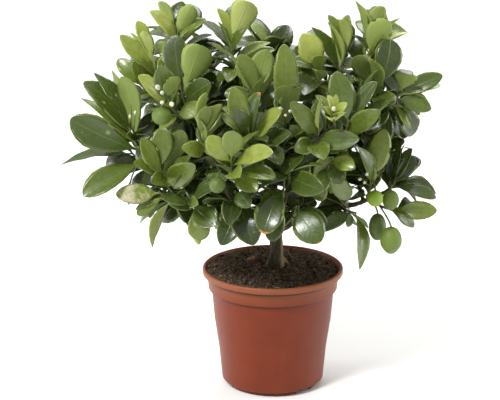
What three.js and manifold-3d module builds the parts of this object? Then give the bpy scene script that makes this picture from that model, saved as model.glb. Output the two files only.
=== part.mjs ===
// A calamondin, a small orange tree, growing in a round plastic pot.
// Millimetres, +Z up. The origin is the centre of the pot's underside.
import * as THREE from 'three';
import { mergeVertices } from 'three/addons/utils/BufferGeometryUtils.js';
import Module from 'manifold-3d';

const wasm = await Module();
wasm.setup();

// Driving dimensions.
const gap = 0.3;                 // between pieces that touch
const potHeight = 147;
const potRimRadius = 85;
const potFootRadius = 61.7;      // wall radius just above the bottom corner
const potWall = 1.8;
const potSides = 36;
const lipHeight = 7.5;
const lipReach = 5.5;            // how far the rolled lip stands out from the collar
const lipWidth = 3.4;            // across the top of the lip
const lipRound = 1.4;
const collarHeight = 18;
const collarTaper = 1.6;         // the collar is this much slimmer at its lower edge
const collarStep = 3.6;          // the wall steps in under the collar
const cornerRise = 4;            // the slanted corner between the wall and the underside
const cornerInset = 2.6;
const floorThickness = 2;
const footHeight = 5;
const footRingInset = 6.7;       // the standing ring's outer edge, in from the wall's foot
const footRingWidth = 4;
const padRadius = 14;            // middle pad under the pot
const drainCount = 3;
const drainWidth = 23;
const drainTurn = 0.61;          // of the first notch, as a share of their spacing
const drainHoleRadius = 4.5;
const drainHoleInset = 15;       // the holes' centres, in from the standing ring

const soilBelowRim = 6;          // soil level at the wall
const soilMound = 8;             // rise of the soil towards the trunk
const soilRound = 2;             // at the edge of the soil's top
const moundShape = [[50, 0.35], [26, 0.8]];   // radius, and share of the rise there
const trunkRadius = 8.5;
const trunkFlare = 2;            // extra radius where the trunk meets the soil
const trunkTaper = 1;            // the trunk is this much slimmer where it forks
const trunkBuried = 45;
const trunkPlace = new THREE.Vector2(5, 0);

const crownWidth = 460;          // from the leftmost leaf tip to the rightmost
const crownHeight = 331;         // from the soil to the top leaf tip
const crownMiddle = -27;         // the crown hangs over to the left
const crownReach = [0.44, 0.4, 0.43];         // half of it, as shares of width, width and height
const leafThickness = 1.5;
const leafArch = 0.07;           // how far the blade bows, as a share of its length
const leafSlimness = 0.46;       // width of a filling leaf, as a share of its length
const leafSpiral = 2.4;          // turn from one filling leaf to the next, in radians
const roomWanted = 7;            // between a filling leaf and its neighbours
const branchletRadius = 2.3;
const twigRadius = 1.9;
const stalkRadius = 1.1;
const budStemRadius = 0.9;
const calyxRadius = 3;
const calyxHeight = 3;

// The growth chart below is drawn for a crown of this size above soil at this height.
const chartWidth = 460;
const chartHeight = 331;
const chartSoil = 149;

const soilTop = potHeight - soilBelowRim + soilMound;

const terracotta = { color: 0xa0553a, roughness: 0.5, metalness: 0 };
const peat = { color: 0x2c211a, roughness: 1, metalness: 0 };
const bark = { color: 0x4a4030, roughness: 0.9, metalness: 0 };
const leafGreen = { color: 0x55792c, roughness: 0.45, metalness: 0 };
const fruitGreen = { color: 0x8ba33a, roughness: 0.5, metalness: 0 };
const petalWhite = { color: 0xf0eedc, roughness: 0.6, metalness: 0 };

// The woody frame: each limb's points, its radius at the start and at the end.
const limbs = [
  { points: [[3, 0, 192], [-45, -12, 220], [-100, -18, 232], [-128, -20, 258], [-150, -13, 284]],
    from: 4, to: 2.2 },
  { points: [[2, 0, 200], [-40, 5, 270], [-80, 0, 330], [-110, 2, 392]], from: 4.8, to: 2.2 },
  { points: [[3, 0, 200], [-10, 12, 280], [-30, 8, 335], [-44, 2, 380]], from: 4.8, to: 2.2 },
  { points: [[4, 0, 200], [40, 6, 280], [78, 8, 345], [106, 2, 388]], from: 4.8, to: 2.2 },
  { points: [[5, 0, 192], [52, -6, 220], [98, -14, 230], [136, -12, 246]], from: 4.8, to: 2.2 },
  { points: [[40, 6, 280], [95, 2, 312], [136, 0, 345]], from: 3.4, to: 2.2 },
  { points: [[4, -1, 196], [8, -58, 230], [14, -82, 262], [22, -78, 310]], from: 4, to: 2.2 },
  { points: [[2, -1, 198], [-34, -48, 236], [-52, -84, 262], [-66, -82, 300]], from: 4, to: 2.2 },
  { points: [[4, 1, 198], [2, 58, 260], [0, 98, 318]], from: 4, to: 2.2 },
  { points: [[2, 1, 198], [-55, 50, 262], [-106, 76, 314]], from: 4, to: 2.2 },
  { points: [[5, 1, 198], [56, 50, 262], [102, 72, 310]], from: 4, to: 2.2 },
];

// The leafy shoots. Each has a twig from base to tip, some leaves that are placed one by one from
// the lowest up, as [x, y, z of the leaf's tip, width, how far its face is turned to the front],
// and a number of filling leaves of about the given length that spiral up the twig.
const shoots = [
  { name: 'crown_left', base: [-110, 5, 400], tip: [-116, 5, 444], fill: 4, size: 40,
    leaves: [[-145, -22, 467, 18, 1], [-84, -8, 446, 7, 0], [-79, 0, 453, 15, 0],
      [-94, -18, 473, 23, -1], [-134, 2, 474, 13, -0.6]] },
  { name: 'crown_left_face', base: [-100, -15, 345], tip: [-110, -38, 390], fill: 2, size: 42,
    leaves: [[-73, -66, 394, 28, 2], [-84, -62, 438, 36, -1.5], [-117, -20, 439, 34, 1.5]] },
  { name: 'left_upper', base: [-130, 0, 368], tip: [-146, 0, 410], fill: 3, size: 40,
    leaves: [[-168, -8, 412, 10, 0], [-168, 8, 436, 10, -1], [-180, 0, 434, 20, 0],
      [-151, -16, 443, 17, -1.5], [-160, 5, 450, 15, 1]] },
  { name: 'left_budding', base: [-106, -35, 342], tip: [-123, -70, 376], fill: 3, size: 32,
    leaves: [[-78, -85, 371, 20, 1.5], [-156, -75, 404, 19, 1], [-114, -95, 408, 20, -1],
      [-131, -78, 417, 27, 1]] },
  { name: 'far_left', base: [-153, -12, 288], tip: [-171, -10, 324], fill: 1, size: 48,
    leaves: [[-239, -25, 338, 40, 1], [-228, -5, 359, 18, 0], [-178, -8, 386, 27, -1],
      [-224, 2, 377, 27, 0.6], [-212, 8, 387, 17, 0.5], [-191, 14, 388, 14, -1]] },
  { name: 'left_back', base: [-118, 22, 330], tip: [-158, 32, 370], fill: 4, size: 42,
    leaves: [[-166, 18, 398, 22, 1], [-186, 42, 394, 20, 1]] },
  { name: 'left_reach', base: [-146, -6, 276], tip: [-170, -2, 292], fill: 1, size: 38,
    leaves: [[-225, -38, 248, 30, 0.8], [-189, -5, 277, 17, 1], [-254, 0, 275, 15, 0.5]] },
  { name: 'left_low_front', base: [-120, -24, 250], tip: [-134, -52, 286], fill: 0, size: 40,
    leaves: [[-97, -72, 308, 16, 0.5], [-92, -80, 298, 30, 1.5], [-163, -66, 298, 17, 0.8],
      [-141, -100, 283, 22, 1], [-154, -62, 325, 21, 1], [-106, -50, 332, 25, -0.5],
      [-129, -42, 333, 29, 1]] },
  { name: 'left_under', base: [-112, -24, 234], tip: [-136, -26, 250], fill: 0, size: 40,
    leaves: [[-144, -34, 182, 12, -0.5], [-164, -22, 226, 10, 0.5], [-162, -30, 222, 15, 0.5],
      [-187, -28, 247, 25, 0.5]] },
  { name: 'low_left', base: [-84, -44, 238], tip: [-99, -84, 253], fill: 1, size: 38,
    leaves: [[-88, -62, 195, 14, -1], [-84, -72, 204, 26, 0.5], [-68, -108, 234, 32, 1.2],
      [-88, -115, 262, 15, 0.8], [-56, -118, 288, 15, 0]] },
  { name: 'low_middle_left', base: [-38, -72, 250], tip: [-45, -112, 277], fill: 1, size: 44,
    leaves: [[-61, -118, 213, 30, 0.8], [-23, -130, 217, 36, 1], [-52, -142, 245, 24, 1],
      [-27, -142, 268, 22, 1]] },
  { name: 'low_middle', base: [8, -72, 240], tip: [12, -112, 290], fill: 1, size: 42,
    leaves: [[-4, -118, 218, 24, 0.6], [-12, -142, 235, 34, 1]] },
  { name: 'low_middle_right', base: [24, -66, 236], tip: [26, -110, 258], fill: 1, size: 42,
    leaves: [[62, -98, 232, 24, 0.5], [53, -132, 221, 37, 1]] },
  { name: 'front_middle', base: [-46, -98, 292], tip: [-49, -142, 324], fill: 0, size: 34,
    leaves: [[-20, -150, 288, 25, 0.8], [-40, -172, 312, 23, 1], [1, -150, 305, 16, 0.6],
      [-84, -138, 342, 9, 0], [-2, -160, 337, 21, 1.2], [-17, -130, 354, 8, 0],
      [-75, -140, 350, 23, 1], [-49, -165, 364, 25, -1]] },
  { name: 'front_left_upper', base: [-75, -80, 312], tip: [-88, -112, 352], fill: 1, size: 38,
    leaves: [[-105, -135, 335, 20, 0.5], [-98, -120, 375, 8, 0], [-61, -120, 383, 16, -0.8],
      [-76, -130, 383, 18, -0.5], [-77, -105, 392, 12, -0.5]] },
  { name: 'front_centre', base: [-22, -72, 312], tip: [-30, -102, 350], fill: 1, size: 42,
    leaves: [[9, -100, 372, 18, 1], [-17, -98, 390, 16, 1], [-47, -118, 377, 19, 0.5],
      [-48, -100, 397, 25, 0.8]] },
  { name: 'crown_middle', base: [-45, 1, 386], tip: [-50, 0, 428], fill: 3, size: 40,
    leaves: [[1, 0, 417, 13, 0.3], [-4, -5, 427, 11, 0.3], [-65, -5, 452, 10, -0.5],
      [-29, -18, 449, 11, 1], [-66, 5, 465, 13, 0.5], [-30, -14, 478, 33, -1.2]] },
  { name: 'upper_centre', base: [-18, -30, 342], tip: [-18, -52, 384], fill: 2, size: 40,
    leaves: [[-7, -78, 408, 12, -0.5], [-56, -48, 428, 10, 0], [-39, -64, 427, 25, -0.8],
      [-8, -46, 428, 30, -0.3]] },
  { name: 'upper_centre_right', base: [14, -42, 318], tip: [12, -72, 364], fill: 2, size: 40,
    leaves: [[32, -95, 398, 20, 0], [14, -108, 402, 30, -0.5], [12, -52, 436, 30, 1.5]] },
  { name: 'crown_middle_right', base: [50, -8, 366], tip: [56, -14, 406], fill: 2, size: 40,
    leaves: [[50, -55, 405, 18, -1], [55, -42, 420, 18, -1], [34, -12, 439, 32, 0.5]] },
  { name: 'crown_right_inner', base: [74, 2, 374], tip: [84, 0, 418], fill: 3, size: 40,
    leaves: [[46, 0, 444, 15, 0.3], [64, -8, 453, 11, -1], [65, 5, 457, 17, 0.2],
      [82, -16, 457, 15, -0.3], [88, 2, 458, 15, 0]] },
  { name: 'crown_right', base: [107, 1, 392], tip: [116, 0, 432], fill: 1, size: 40,
    leaves: [[158, 0, 437, 10, 0], [147, -6, 456, 11, 0], [132, -30, 459, 30, -0.8],
      [110, 5, 464, 12, 0.5], [96, 0, 475, 13, -0.8], [127, -10, 471, 19, -0.8]] },
  { name: 'right_upper', base: [110, -10, 344], tip: [126, -26, 384], fill: 2, size: 40,
    leaves: [[122, -66, 412, 15, 0.8], [117, -56, 418, 17, -0.5], [94, -52, 421, 25, -1],
      [137, -12, 432, 33, 1.4]] },
  { name: 'right_outer', base: [138, -2, 348], tip: [152, -2, 368], fill: 2, size: 38,
    leaves: [[163, -2, 321, 10, 0], [164, -4, 331, 5, 0], [187, -4, 345, 21, 0],
      [198, 0, 373, 13, -0.3], [200, 2, 385, 22, 0.8], [158, -30, 394, 30, 1]] },
  { name: 'front_right_upper', base: [80, -60, 324], tip: [86, -92, 356], fill: 1, size: 40,
    leaves: [[141, -76, 380, 13, 0.3], [121, -112, 372, 23, 1.2], [118, -80, 398, 18, 1],
      [71, -86, 412, 31, 1.5]] },
  { name: 'front_star', base: [70, -98, 350], tip: [67, -128, 376], fill: 0, size: 18,
    leaves: [[62, -146, 371, 8, 1], [79, -146, 380, 9, 1], [55, -138, 384, 8, 1],
      [82, -140, 389, 10, 1], [60, -132, 396, 9, 1], [70, -130, 396, 9, 1]] },
  { name: 'front_right', base: [44, -76, 316], tip: [52, -110, 350], fill: 1, size: 40,
    leaves: [[24, -130, 330, 21, 1], [56, -142, 323, 27, 1], [97, -126, 343, 24, 0.6],
      [18, -126, 386, 22, 1.2], [54, -120, 392, 6, 0]] },
  { name: 'front_right_low', base: [58, -58, 276], tip: [66, -98, 314], fill: 1, size: 38,
    leaves: [[50, -62, 250, 18, 0.8], [92, -50, 250, 22, 0.8], [46, -125, 276, 20, 1],
      [78, -112, 286, 22, 0.6], [92, -116, 307, 20, 1]] },
  { name: 'front_low', base: [18, -80, 272], tip: [18, -112, 310], fill: 1, size: 40,
    leaves: [[57, -148, 289, 29, 1.2]] },
  { name: 'right_low', base: [112, -20, 242], tip: [117, -40, 274], fill: 1, size: 40,
    leaves: [[100, -50, 312, 8, 0], [98, -64, 316, 16, 0.8], [131, -28, 327, 29, 1.2]] },
  { name: 'right_low_outer', base: [139, -12, 249], tip: [147, -18, 266], fill: 2, size: 34,
    leaves: [[194, -20, 240, 16, 0.6], [168, -22, 290, 21, 0.8], [164, -16, 300, 15, 0.8],
      [157, -4, 304, 5, 0], [153, -10, 310, 8, 0]] },
  { name: 'right_bottom', base: [128, -16, 228], tip: [148, -22, 222], fill: 0, size: 34,
    leaves: [[172, -28, 215, 9, 0], [195, -26, 226, 23, 0.9]] },
  { name: 'right_hanging', base: [86, -20, 224], tip: [99, -30, 224], fill: 0, size: 36,
    leaves: [[90, -20, 203, 10, 0], [53, -52, 209, 19, 0.5], [103, -42, 157, 16, 0.8]] },
  { name: 'back_top', base: [-4, 62, 352], tip: [-8, 80, 404], fill: 8, size: 44, leaves: [] },
  { name: 'back_left_top', base: [-72, 48, 350], tip: [-84, 68, 400], fill: 8, size: 44,
    leaves: [] },
  { name: 'back_right_top', base: [62, 46, 350], tip: [74, 66, 398], fill: 8, size: 44,
    leaves: [] },
  { name: 'back_left', base: [-112, 80, 318], tip: [-142, 104, 346], fill: 8, size: 46,
    leaves: [] },
  { name: 'back_right', base: [106, 76, 314], tip: [132, 98, 344], fill: 8, size: 46,
    leaves: [] },
  { name: 'back_middle', base: [0, 104, 324], tip: [-2, 140, 350], fill: 8, size: 46,
    leaves: [] },
  { name: 'back_low_left', base: [-66, 68, 262], tip: [-92, 108, 272], fill: 7, size: 46,
    leaves: [] },
  { name: 'back_low_right', base: [64, 66, 262], tip: [90, 104, 270], fill: 7, size: 46,
    leaves: [] },
  { name: 'back_low', base: [0, 78, 264], tip: [-2, 122, 266], fill: 7, size: 46, leaves: [] },
  { name: 'left_side', base: [-96, 20, 246], tip: [-132, 50, 268], fill: 6, size: 44,
    leaves: [] },
  { name: 'right_side', base: [96, 18, 266], tip: [140, 46, 290], fill: 6, size: 44,
    leaves: [] },
];

// The fruits: centre, half width, half height, how pointed the lower end is, and where the stalk
// comes from.
const fruits = [
  { name: 'fruit_ripening', centre: [120, -48, 248], halfWidth: 9.5, halfHeight: 10, point: 0,
    from: [117, -34, 268] },
  { name: 'fruit_right', centre: [139, -38, 243], halfWidth: 10, halfHeight: 12, point: 0,
    from: [138, -22, 262] },
  { name: 'fruit_long', centre: [124, -34, 208], halfWidth: 10.5, halfHeight: 17, point: 0.1,
    from: [120, -18, 232] },
  { name: 'fruit_low', centre: [139, -58, 199], halfWidth: 13, halfHeight: 17, point: 0.3,
    from: [126, -22, 232] },
  { name: 'fruit_front', centre: [-65, -132, 290], halfWidth: 9.5, halfHeight: 9.5, point: 0,
    from: [-56, -96, 300] },
  { name: 'fruit_left', centre: [-129, -96, 362], halfWidth: 11.5, halfHeight: 10.5, point: 0,
    from: [-119, -68, 374] },
];

// The flower buds, in groups on one short stem: each bud's place and radius.
const budSprays = [
  { name: 'buds_left', from: [-165, -24, 322], buds: [[-168, -40, 346, 2.2], [-162, -38, 350, 2.2]] },
  { name: 'buds_left_middle', from: [-124, -78, 378],
    buds: [[-133, -100, 397, 3.4], [-128, -102, 391, 2.8], [-128, -104, 380, 3],
      [-117, -104, 378, 3.6]] },
  { name: 'buds_centre', from: [14, -78, 360],
    buds: [[7, -108, 374, 2.6], [18, -112, 372, 2.4], [13, -108, 366, 2.2]] },
  { name: 'buds_right', from: [112, -42, 270],
    buds: [[109, -62, 282, 2.6], [101, -62, 276, 2.4], [106, -66, 273, 2.2]] },
  { name: 'bud_star', from: [67, -131, 378], buds: [[67, -138, 382, 3.2]] },
];

// Places from the growth chart, on this plant.
function placed([x, y, z]) {
  const spread = crownWidth / chartWidth;
  const rise = crownHeight / chartHeight;
  return new THREE.Vector3(x * spread, y * spread, soilTop + (z - chartSoil) * rise);
}

// A number from 0 to 1 that looks random and is the same every time.
function chance(seed) {
  const wave = Math.sin(seed * 12.9898) * 43758.5453;
  return wave - Math.floor(wave);
}

// A closed geometry as a solid that can be joined and cut.
function solid(geometry) {
  const bare = geometry.clone();
  bare.deleteAttribute('normal');
  bare.deleteAttribute('uv');
  const merged = mergeVertices(bare, 1e-5);
  const vertProperties = Float32Array.from(merged.attributes.position.array);
  const triVerts = Uint32Array.from(merged.index.array);
  return new wasm.Manifold(new wasm.Mesh({ numProp: 3, vertProperties, triVerts }));
}

// A solid back as a geometry with flat faces.
function geometryOf(body) {
  const mesh = body.getMesh();
  const geometry = new THREE.BufferGeometry();
  geometry.setAttribute('position', new THREE.BufferAttribute(mesh.vertProperties, 3));
  geometry.setIndex(new THREE.BufferAttribute(mesh.triVerts, 1));
  geometry.computeVertexNormals();
  return geometry;
}

function joined(bodies) {
  return bodies.reduce((all, body) => all.add(body));
}

// A direction square to the given one.
function squareTo(direction, hint) {
  const across = hint.clone().addScaledVector(direction, -hint.dot(direction));
  return across.normalize();
}

// A closed rod along a curve, thinner towards its end.
function taperedRod(curve, startRadius, endRadius, sides, steps) {
  const geometry = new THREE.CylinderGeometry(endRadius, startRadius, 1, sides, steps);
  const hint = new THREE.Vector3().crossVectors(curve.getTangent(0), curve.getTangent(1));
  if (hint.length() < 0.1) {
    hint.crossVectors(curve.getTangent(0), new THREE.Vector3(0.6, -0.8, 0));
  }
  const place = geometry.attributes.position;
  for (let i = 0; i < place.count; i++) {
    const along = place.getY(i) + 0.5;
    const tangent = curve.getTangent(along);
    const normal = squareTo(tangent, hint);
    const binormal = new THREE.Vector3().crossVectors(tangent, normal);
    const point = curve.getPoint(along);
    point.addScaledVector(normal, place.getX(i));
    point.addScaledVector(binormal, -place.getZ(i));
    place.setXYZ(i, point.x, point.y, point.z);
  }
  return geometry;
}

// A turned piece from its profile of [radius, height] points, upright.
function turned(profile, sides) {
  const points = profile.map(([radius, height]) => new THREE.Vector2(radius, height));
  const geometry = new THREE.LatheGeometry(points, sides);
  geometry.rotateX(Math.PI / 2);
  return geometry;
}

// What follows from the pot's driving dimensions.
const collarBottom = potHeight - lipHeight - collarHeight;
const collarTopRadius = potRimRadius - lipReach;
const collarBottomRadius = collarTopRadius - collarTaper;
const bodyTopRadius = collarBottomRadius - collarStep;
const cornerHeight = footHeight + cornerRise;
const floorTop = footHeight + floorThickness;
const footRingRadius = potFootRadius - footRingInset;
const drainHoleCircle = footRingRadius - footRingWidth - drainHoleInset;

function potSolid() {
  const lipBottom = potHeight - lipHeight;
  const lipInner = potRimRadius - lipWidth;
  const pot = solid(turned([
    [0, 0], [padRadius, 0], [padRadius, footHeight],
    [footRingRadius - footRingWidth, footHeight], [footRingRadius - footRingWidth, 0],
    [footRingRadius, 0], [footRingRadius, footHeight], [potFootRadius - cornerInset, footHeight],
    [potFootRadius, cornerHeight], [bodyTopRadius, collarBottom],
    [collarBottomRadius, collarBottom + 0.6], [collarTopRadius, lipBottom],
    [potRimRadius, lipBottom + 0.8], [potRimRadius, potHeight - lipRound],
    [potRimRadius - lipRound, potHeight], [lipInner + 0.8, potHeight],
    [collarTopRadius - potWall, lipBottom - 1],
    [collarBottomRadius - potWall, collarBottom + 0.6 + potWall],
    [bodyTopRadius - potWall, collarBottom + 0.6], [potFootRadius - potWall, cornerHeight + 1],
    [potFootRadius - potWall - cornerInset, floorTop], [0, floorTop],
  ], potSides));
  const cuts = [];
  for (let i = 0; i < drainCount; i++) {
    const turn = (i + drainTurn) * 2 * Math.PI / drainCount;
    const notch = new THREE.BoxGeometry(2 * footRingWidth + 4, drainWidth, 2 * footHeight - 2);
    notch.translate(footRingRadius - footRingWidth / 2, 0, 0);
    notch.rotateZ(turn);
    cuts.push(solid(notch));
    const hole = new THREE.CylinderGeometry(drainHoleRadius, drainHoleRadius, 20, 8);
    hole.rotateX(Math.PI / 2);
    hole.translate(drainHoleCircle * Math.cos(turn), drainHoleCircle * Math.sin(turn), floorTop);
    cuts.push(solid(hole));
  }
  return pot.subtract(joined(cuts));
}

function soilSolid(bore) {
  const edge = potHeight - soilBelowRim;
  const wallAt = (height) => {
    if (height < collarBottom) {
      const share = (height - cornerHeight) / (collarBottom - cornerHeight);
      return potFootRadius + share * (bodyTopRadius - potFootRadius) - potWall - gap;
    }
    const share = (height - collarBottom) / (potHeight - lipHeight - collarBottom);
    return collarBottomRadius + share * (collarTopRadius - collarBottomRadius) - potWall - gap;
  };
  const shoulder = cornerHeight + 1;
  const soil = solid(turned([
    [0, floorTop + gap], [wallAt(shoulder) - cornerInset - 0.8, floorTop + gap],
    [wallAt(shoulder) - 0.8, shoulder], [wallAt(collarBottom - 1) - 0.4, collarBottom - 1],
    [wallAt(edge) - 0.8, edge - soilRound], [wallAt(edge) - soilRound, edge],
    ...moundShape.map(([radius, share]) => [radius, edge + soilMound * share]),
    [0, edge + soilMound],
  ], potSides));
  return soil.subtract(bore);
}

// A curve through a limb's points.
function limbCurve(limb) {
  return new THREE.CatmullRomCurve3(limb.points.map(placed), false, 'catmullrom', 0.5);
}

// A twig bends up from its base.
function twigCurve(shoot) {
  const base = placed(shoot.base);
  const tip = placed(shoot.tip);
  const bend = base.clone().lerp(tip, 0.55);
  bend.z = base.z + 0.3 * (tip.z - base.z);
  return new THREE.QuadraticBezierCurve3(base, bend, tip);
}

// The branchlet that carries a shoot leaves the nearest limb, below the shoot if it can.
function branchletCurve(shoot) {
  const base = placed(shoot.base);
  let best = null;
  let bestCost = Infinity;
  for (const limb of limbs) {
    const curve = limbCurve(limb);
    for (let step = 2; step <= 20; step++) {
      const point = curve.getPoint(step / 20);
      const cost = point.distanceTo(base) + Math.max(0, point.z - base.z + 8);
      if (cost < bestCost) {
        bestCost = cost;
        best = point;
      }
    }
  }
  return new THREE.LineCurve3(best, base);
}

// The trunk and its limbs, grown in one piece; extra makes it thicker, to cut its own clearance.
function woodSolid(extra) {
  const trunkFoot = soilTop - trunkBuried;
  const trunkPoints = [
    [trunkPlace.x, trunkPlace.y, trunkFoot], [trunkPlace.x, trunkPlace.y, soilTop - 4],
    [trunkPlace.x - 0.5, trunkPlace.y, soilTop + 8],
    [trunkPlace.x - 1, trunkPlace.y, soilTop + 30], [trunkPlace.x - 2, trunkPlace.y, soilTop + 56],
  ].map(([x, y, z]) => new THREE.Vector3(x, y, z));
  const trunkCurve = new THREE.CatmullRomCurve3(trunkPoints, false, 'catmullrom', 0.5);
  const flare = trunkRadius + trunkFlare;
  const fork = trunkRadius - trunkTaper;
  const parts = [solid(taperedRod(trunkCurve, flare + extra, fork + extra, 9, 5))];
  for (const limb of limbs) {
    const rod = taperedRod(limbCurve(limb), limb.from + extra, limb.to + extra, 5, 5);
    parts.push(solid(rod));
  }
  for (const shoot of shoots) {
    const curve = branchletCurve(shoot);
    parts.push(solid(taperedRod(curve, branchletRadius + extra, twigRadius + extra, 4, 1)));
  }
  return joined(parts);
}

// A leaf from its base, its tip, its width and where its upper face is turned.
function leafAt(base, tip, width, faceHint) {
  const along = tip.clone().sub(base);
  const length = along.length();
  along.normalize();
  const face = squareTo(along, faceHint);
  const side = new THREE.Vector3().crossVectors(along, face);
  return { base, along, face, side, length, width };
}

// A point of a leaf: along it from 0 to 1, across it from -1 to 1, and above its blade.
function leafPoint(leaf, along, across, above, halfWidth) {
  const bow = 4 * leafArch * leaf.length * along * (1 - along);
  return leaf.base.clone()
    .addScaledVector(leaf.along, along * leaf.length)
    .addScaledVector(leaf.side, across * halfWidth)
    .addScaledVector(leaf.face, above + bow);
}

// A leaf's solid is a sphere of three meridians, flattened to a keeled blade between its poles.
function leafSolid(leaf, extra) {
  const geometry = new THREE.SphereGeometry(1, 3, 3, Math.PI / 2);
  const place = geometry.attributes.position;
  const half = leaf.width / 2;
  const ends = extra / leaf.length;
  for (let i = 0; i < place.count; i++) {
    const height = place.getY(i);
    const ring = Math.hypot(place.getX(i), place.getZ(i));
    let along = height > 0 ? 0.76 : 0.36;
    if (ring < 0.01) {
      along = height > 0 ? 1 + ends : -ends;
    }
    const across = ring < 0.01 ? 0 : place.getX(i) / ring / Math.sin(Math.PI / 3);
    const above = ring < 0.01 ? 0 : (place.getZ(i) / ring) * (leafThickness * 2 / 3 + 2 * extra);
    const halfWidth = half * (height > 0 ? 0.88 : 0.94) + 2 * extra;
    const point = leafPoint(leaf, along, across, above, halfWidth);
    place.setXYZ(i, point.x, point.y, point.z);
  }
  return solid(geometry);
}

// Points over a leaf that tell how near it comes to other things.
function leafSamples(leaf) {
  const points = [];
  for (const along of [0.3, 0.42, 0.54, 0.66, 0.78, 0.9, 1]) {
    for (const across of [-0.8, 0, 0.8]) {
      points.push(leafPoint(leaf, along, across, 0, leaf.width / 2));
    }
  }
  return points;
}

// How far a leaf keeps from things that are already there; below zero when it leaves the crown.
function clearance(leaf, own, obstacles) {
  const samples = leafSamples(leaf);
  const tip = samples[samples.length - 2];
  const x = (tip.x - crownMiddle) / (crownWidth * crownReach[0]);
  const y = tip.y / (crownWidth * crownReach[1]);
  const z = (tip.z - soilTop - crownHeight / 2) / (crownHeight * crownReach[2]);
  const outside = Math.max(0, Math.hypot(x, y, z) - 1);
  let nearest = 20;
  for (const obstacle of obstacles) {
    if (obstacle.owner === own) {
      continue;
    }
    for (const sample of samples) {
      nearest = Math.min(nearest, sample.distanceTo(obstacle.point) - obstacle.radius);
    }
  }
  return nearest - 200 * outside;
}

// All leaves of all shoots: first the placed ones, then the filling ones in the room that is left.
function growLeaves() {
  const obstacles = [];
  for (const limb of limbs) {
    const curve = limbCurve(limb);
    for (let step = 0; step <= 16; step++) {
      obstacles.push({ point: curve.getPoint(step / 16), radius: limb.from - 2, owner: null });
    }
  }
  for (const fruit of fruits) {
    obstacles.push({ point: placed(fruit.centre), radius: fruit.halfHeight - 2, owner: null });
  }
  const up = new THREE.Vector3(0, 0, 1);
  const grown = shoots.map(() => []);
  const add = (index, leaf) => {
    grown[index].push(leaf);
    for (const point of leafSamples(leaf)) {
      obstacles.push({ point, radius: 0, owner: index });
    }
  };
  shoots.forEach((shoot, index) => {
    const twig = twigCurve(shoot);
    const axis = twig.getTangent(1);
    shoot.leaves.forEach(([x, y, z, width, turn], order) => {
      const along = 0.25 + 0.75 * (order + 0.5) / shoot.leaves.length;
      const hint = axis.clone().multiplyScalar(0.35).add(up).add(new THREE.Vector3(0, -turn, 0));
      add(index, leafAt(twig.getPoint(along), placed([x, y, z]), width, hint));
    });
  });
  shoots.forEach((shoot, index) => {
    const twig = twigCurve(shoot);
    for (let order = 0; order < shoot.fill; order++) {
      const rank = (order + 0.5) / shoot.fill;
      const base = twig.getPoint(0.15 + 0.85 * rank);
      const axis = twig.getTangent(1);
      const first = squareTo(axis, new THREE.Vector3(0.3, -1, 0.1));
      const second = new THREE.Vector3().crossVectors(axis, first);
      const spread = 1.35 - 0.85 * rank;
      const size = shoot.size * (1 - 0.2 * rank) * (0.88 + 0.24 * chance(index * 31 + order));
      const hint = axis.clone().multiplyScalar(0.6).add(up);
      let best = null;
      let bestClearance = -Infinity;
      for (const swing of [0, 0.4, -0.4, 0.8, -0.8, 1.2, -1.2, 1.7, -1.7]) {
        const angle = leafSpiral * order + 1.7 * index + swing;
        const direction = axis.clone().multiplyScalar(Math.cos(spread))
          .addScaledVector(first, Math.sin(spread) * Math.cos(angle))
          .addScaledVector(second, Math.sin(spread) * Math.sin(angle));
        direction.z -= 0.12;
        direction.normalize();
        const tip = base.clone().addScaledVector(direction, size);
        const leaf = leafAt(base, tip, leafSlimness * size, hint);
        const room = clearance(leaf, index, obstacles);
        if (room > bestClearance) {
          bestClearance = room;
          best = leaf;
        }
        if (room > roomWanted) {
          break;
        }
      }
      add(index, best);
    }
  });
  return grown;
}

function twigSolid(shoot, extra) {
  return solid(taperedRod(twigCurve(shoot), twigRadius + extra, twigRadius * 0.6 + extra, 4, 2));
}

// A fruit with its small calyx and its stalk, grown in one piece.
function fruitSolid(fruit, extra) {
  const ball = new THREE.SphereGeometry(1, 9, 6);
  ball.rotateX(Math.PI / 2);
  const centre = placed(fruit.centre);
  const place = ball.attributes.position;
  for (let i = 0; i < place.count; i++) {
    const low = Math.max(0, -place.getZ(i) - 0.3);
    const narrow = 1 - fruit.point * low;
    place.setXYZ(i, centre.x + place.getX(i) * (fruit.halfWidth + extra) * narrow,
      centre.y + place.getY(i) * (fruit.halfWidth + extra) * narrow,
      centre.z + place.getZ(i) * (fruit.halfHeight + extra));
  }
  const top = centre.clone();
  top.z += fruit.halfHeight - 1.5;
  const above = top.clone();
  above.z += 6;
  const stalk = new THREE.QuadraticBezierCurve3(top, above, placed(fruit.from));
  const calyx = new THREE.CylinderGeometry(
    stalkRadius + extra, calyxRadius + extra, calyxHeight, 5);
  calyx.rotateX(Math.PI / 2);
  calyx.translate(top.x, top.y, top.z + 0.4 * calyxHeight);
  return joined([solid(ball), solid(calyx),
    solid(taperedRod(stalk, stalkRadius + extra, stalkRadius + extra, 4, 3))]);
}

function budSolid(spray, extra) {
  const from = placed(spray.from);
  const parts = [];
  for (const [x, y, z, radius] of spray.buds) {
    const centre = placed([x, y, z]);
    const stem = new THREE.LineCurve3(from, centre);
    parts.push(solid(taperedRod(stem, budStemRadius + extra, budStemRadius * 0.8 + extra, 3, 1)));
    const bud = new THREE.SphereGeometry(radius + extra, 6, 4);
    bud.translate(centre.x, centre.y, centre.z);
    parts.push(solid(bud));
  }
  return joined(parts);
}

// The largest body of a solid, where a cut has parted a sliver from it.
function largest(body) {
  const bodies = body.decompose();
  return bodies.reduce((best, next) => (next.volume() > best.volume() ? next : best));
}

// Whether the boxes around two solids meet.
function boxesMeet(one, other) {
  const a = one.boundingBox();
  const b = other.boundingBox();
  return [0, 1, 2].every((axis) => a.min[axis] <= b.max[axis] && b.min[axis] <= a.max[axis]);
}

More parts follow.
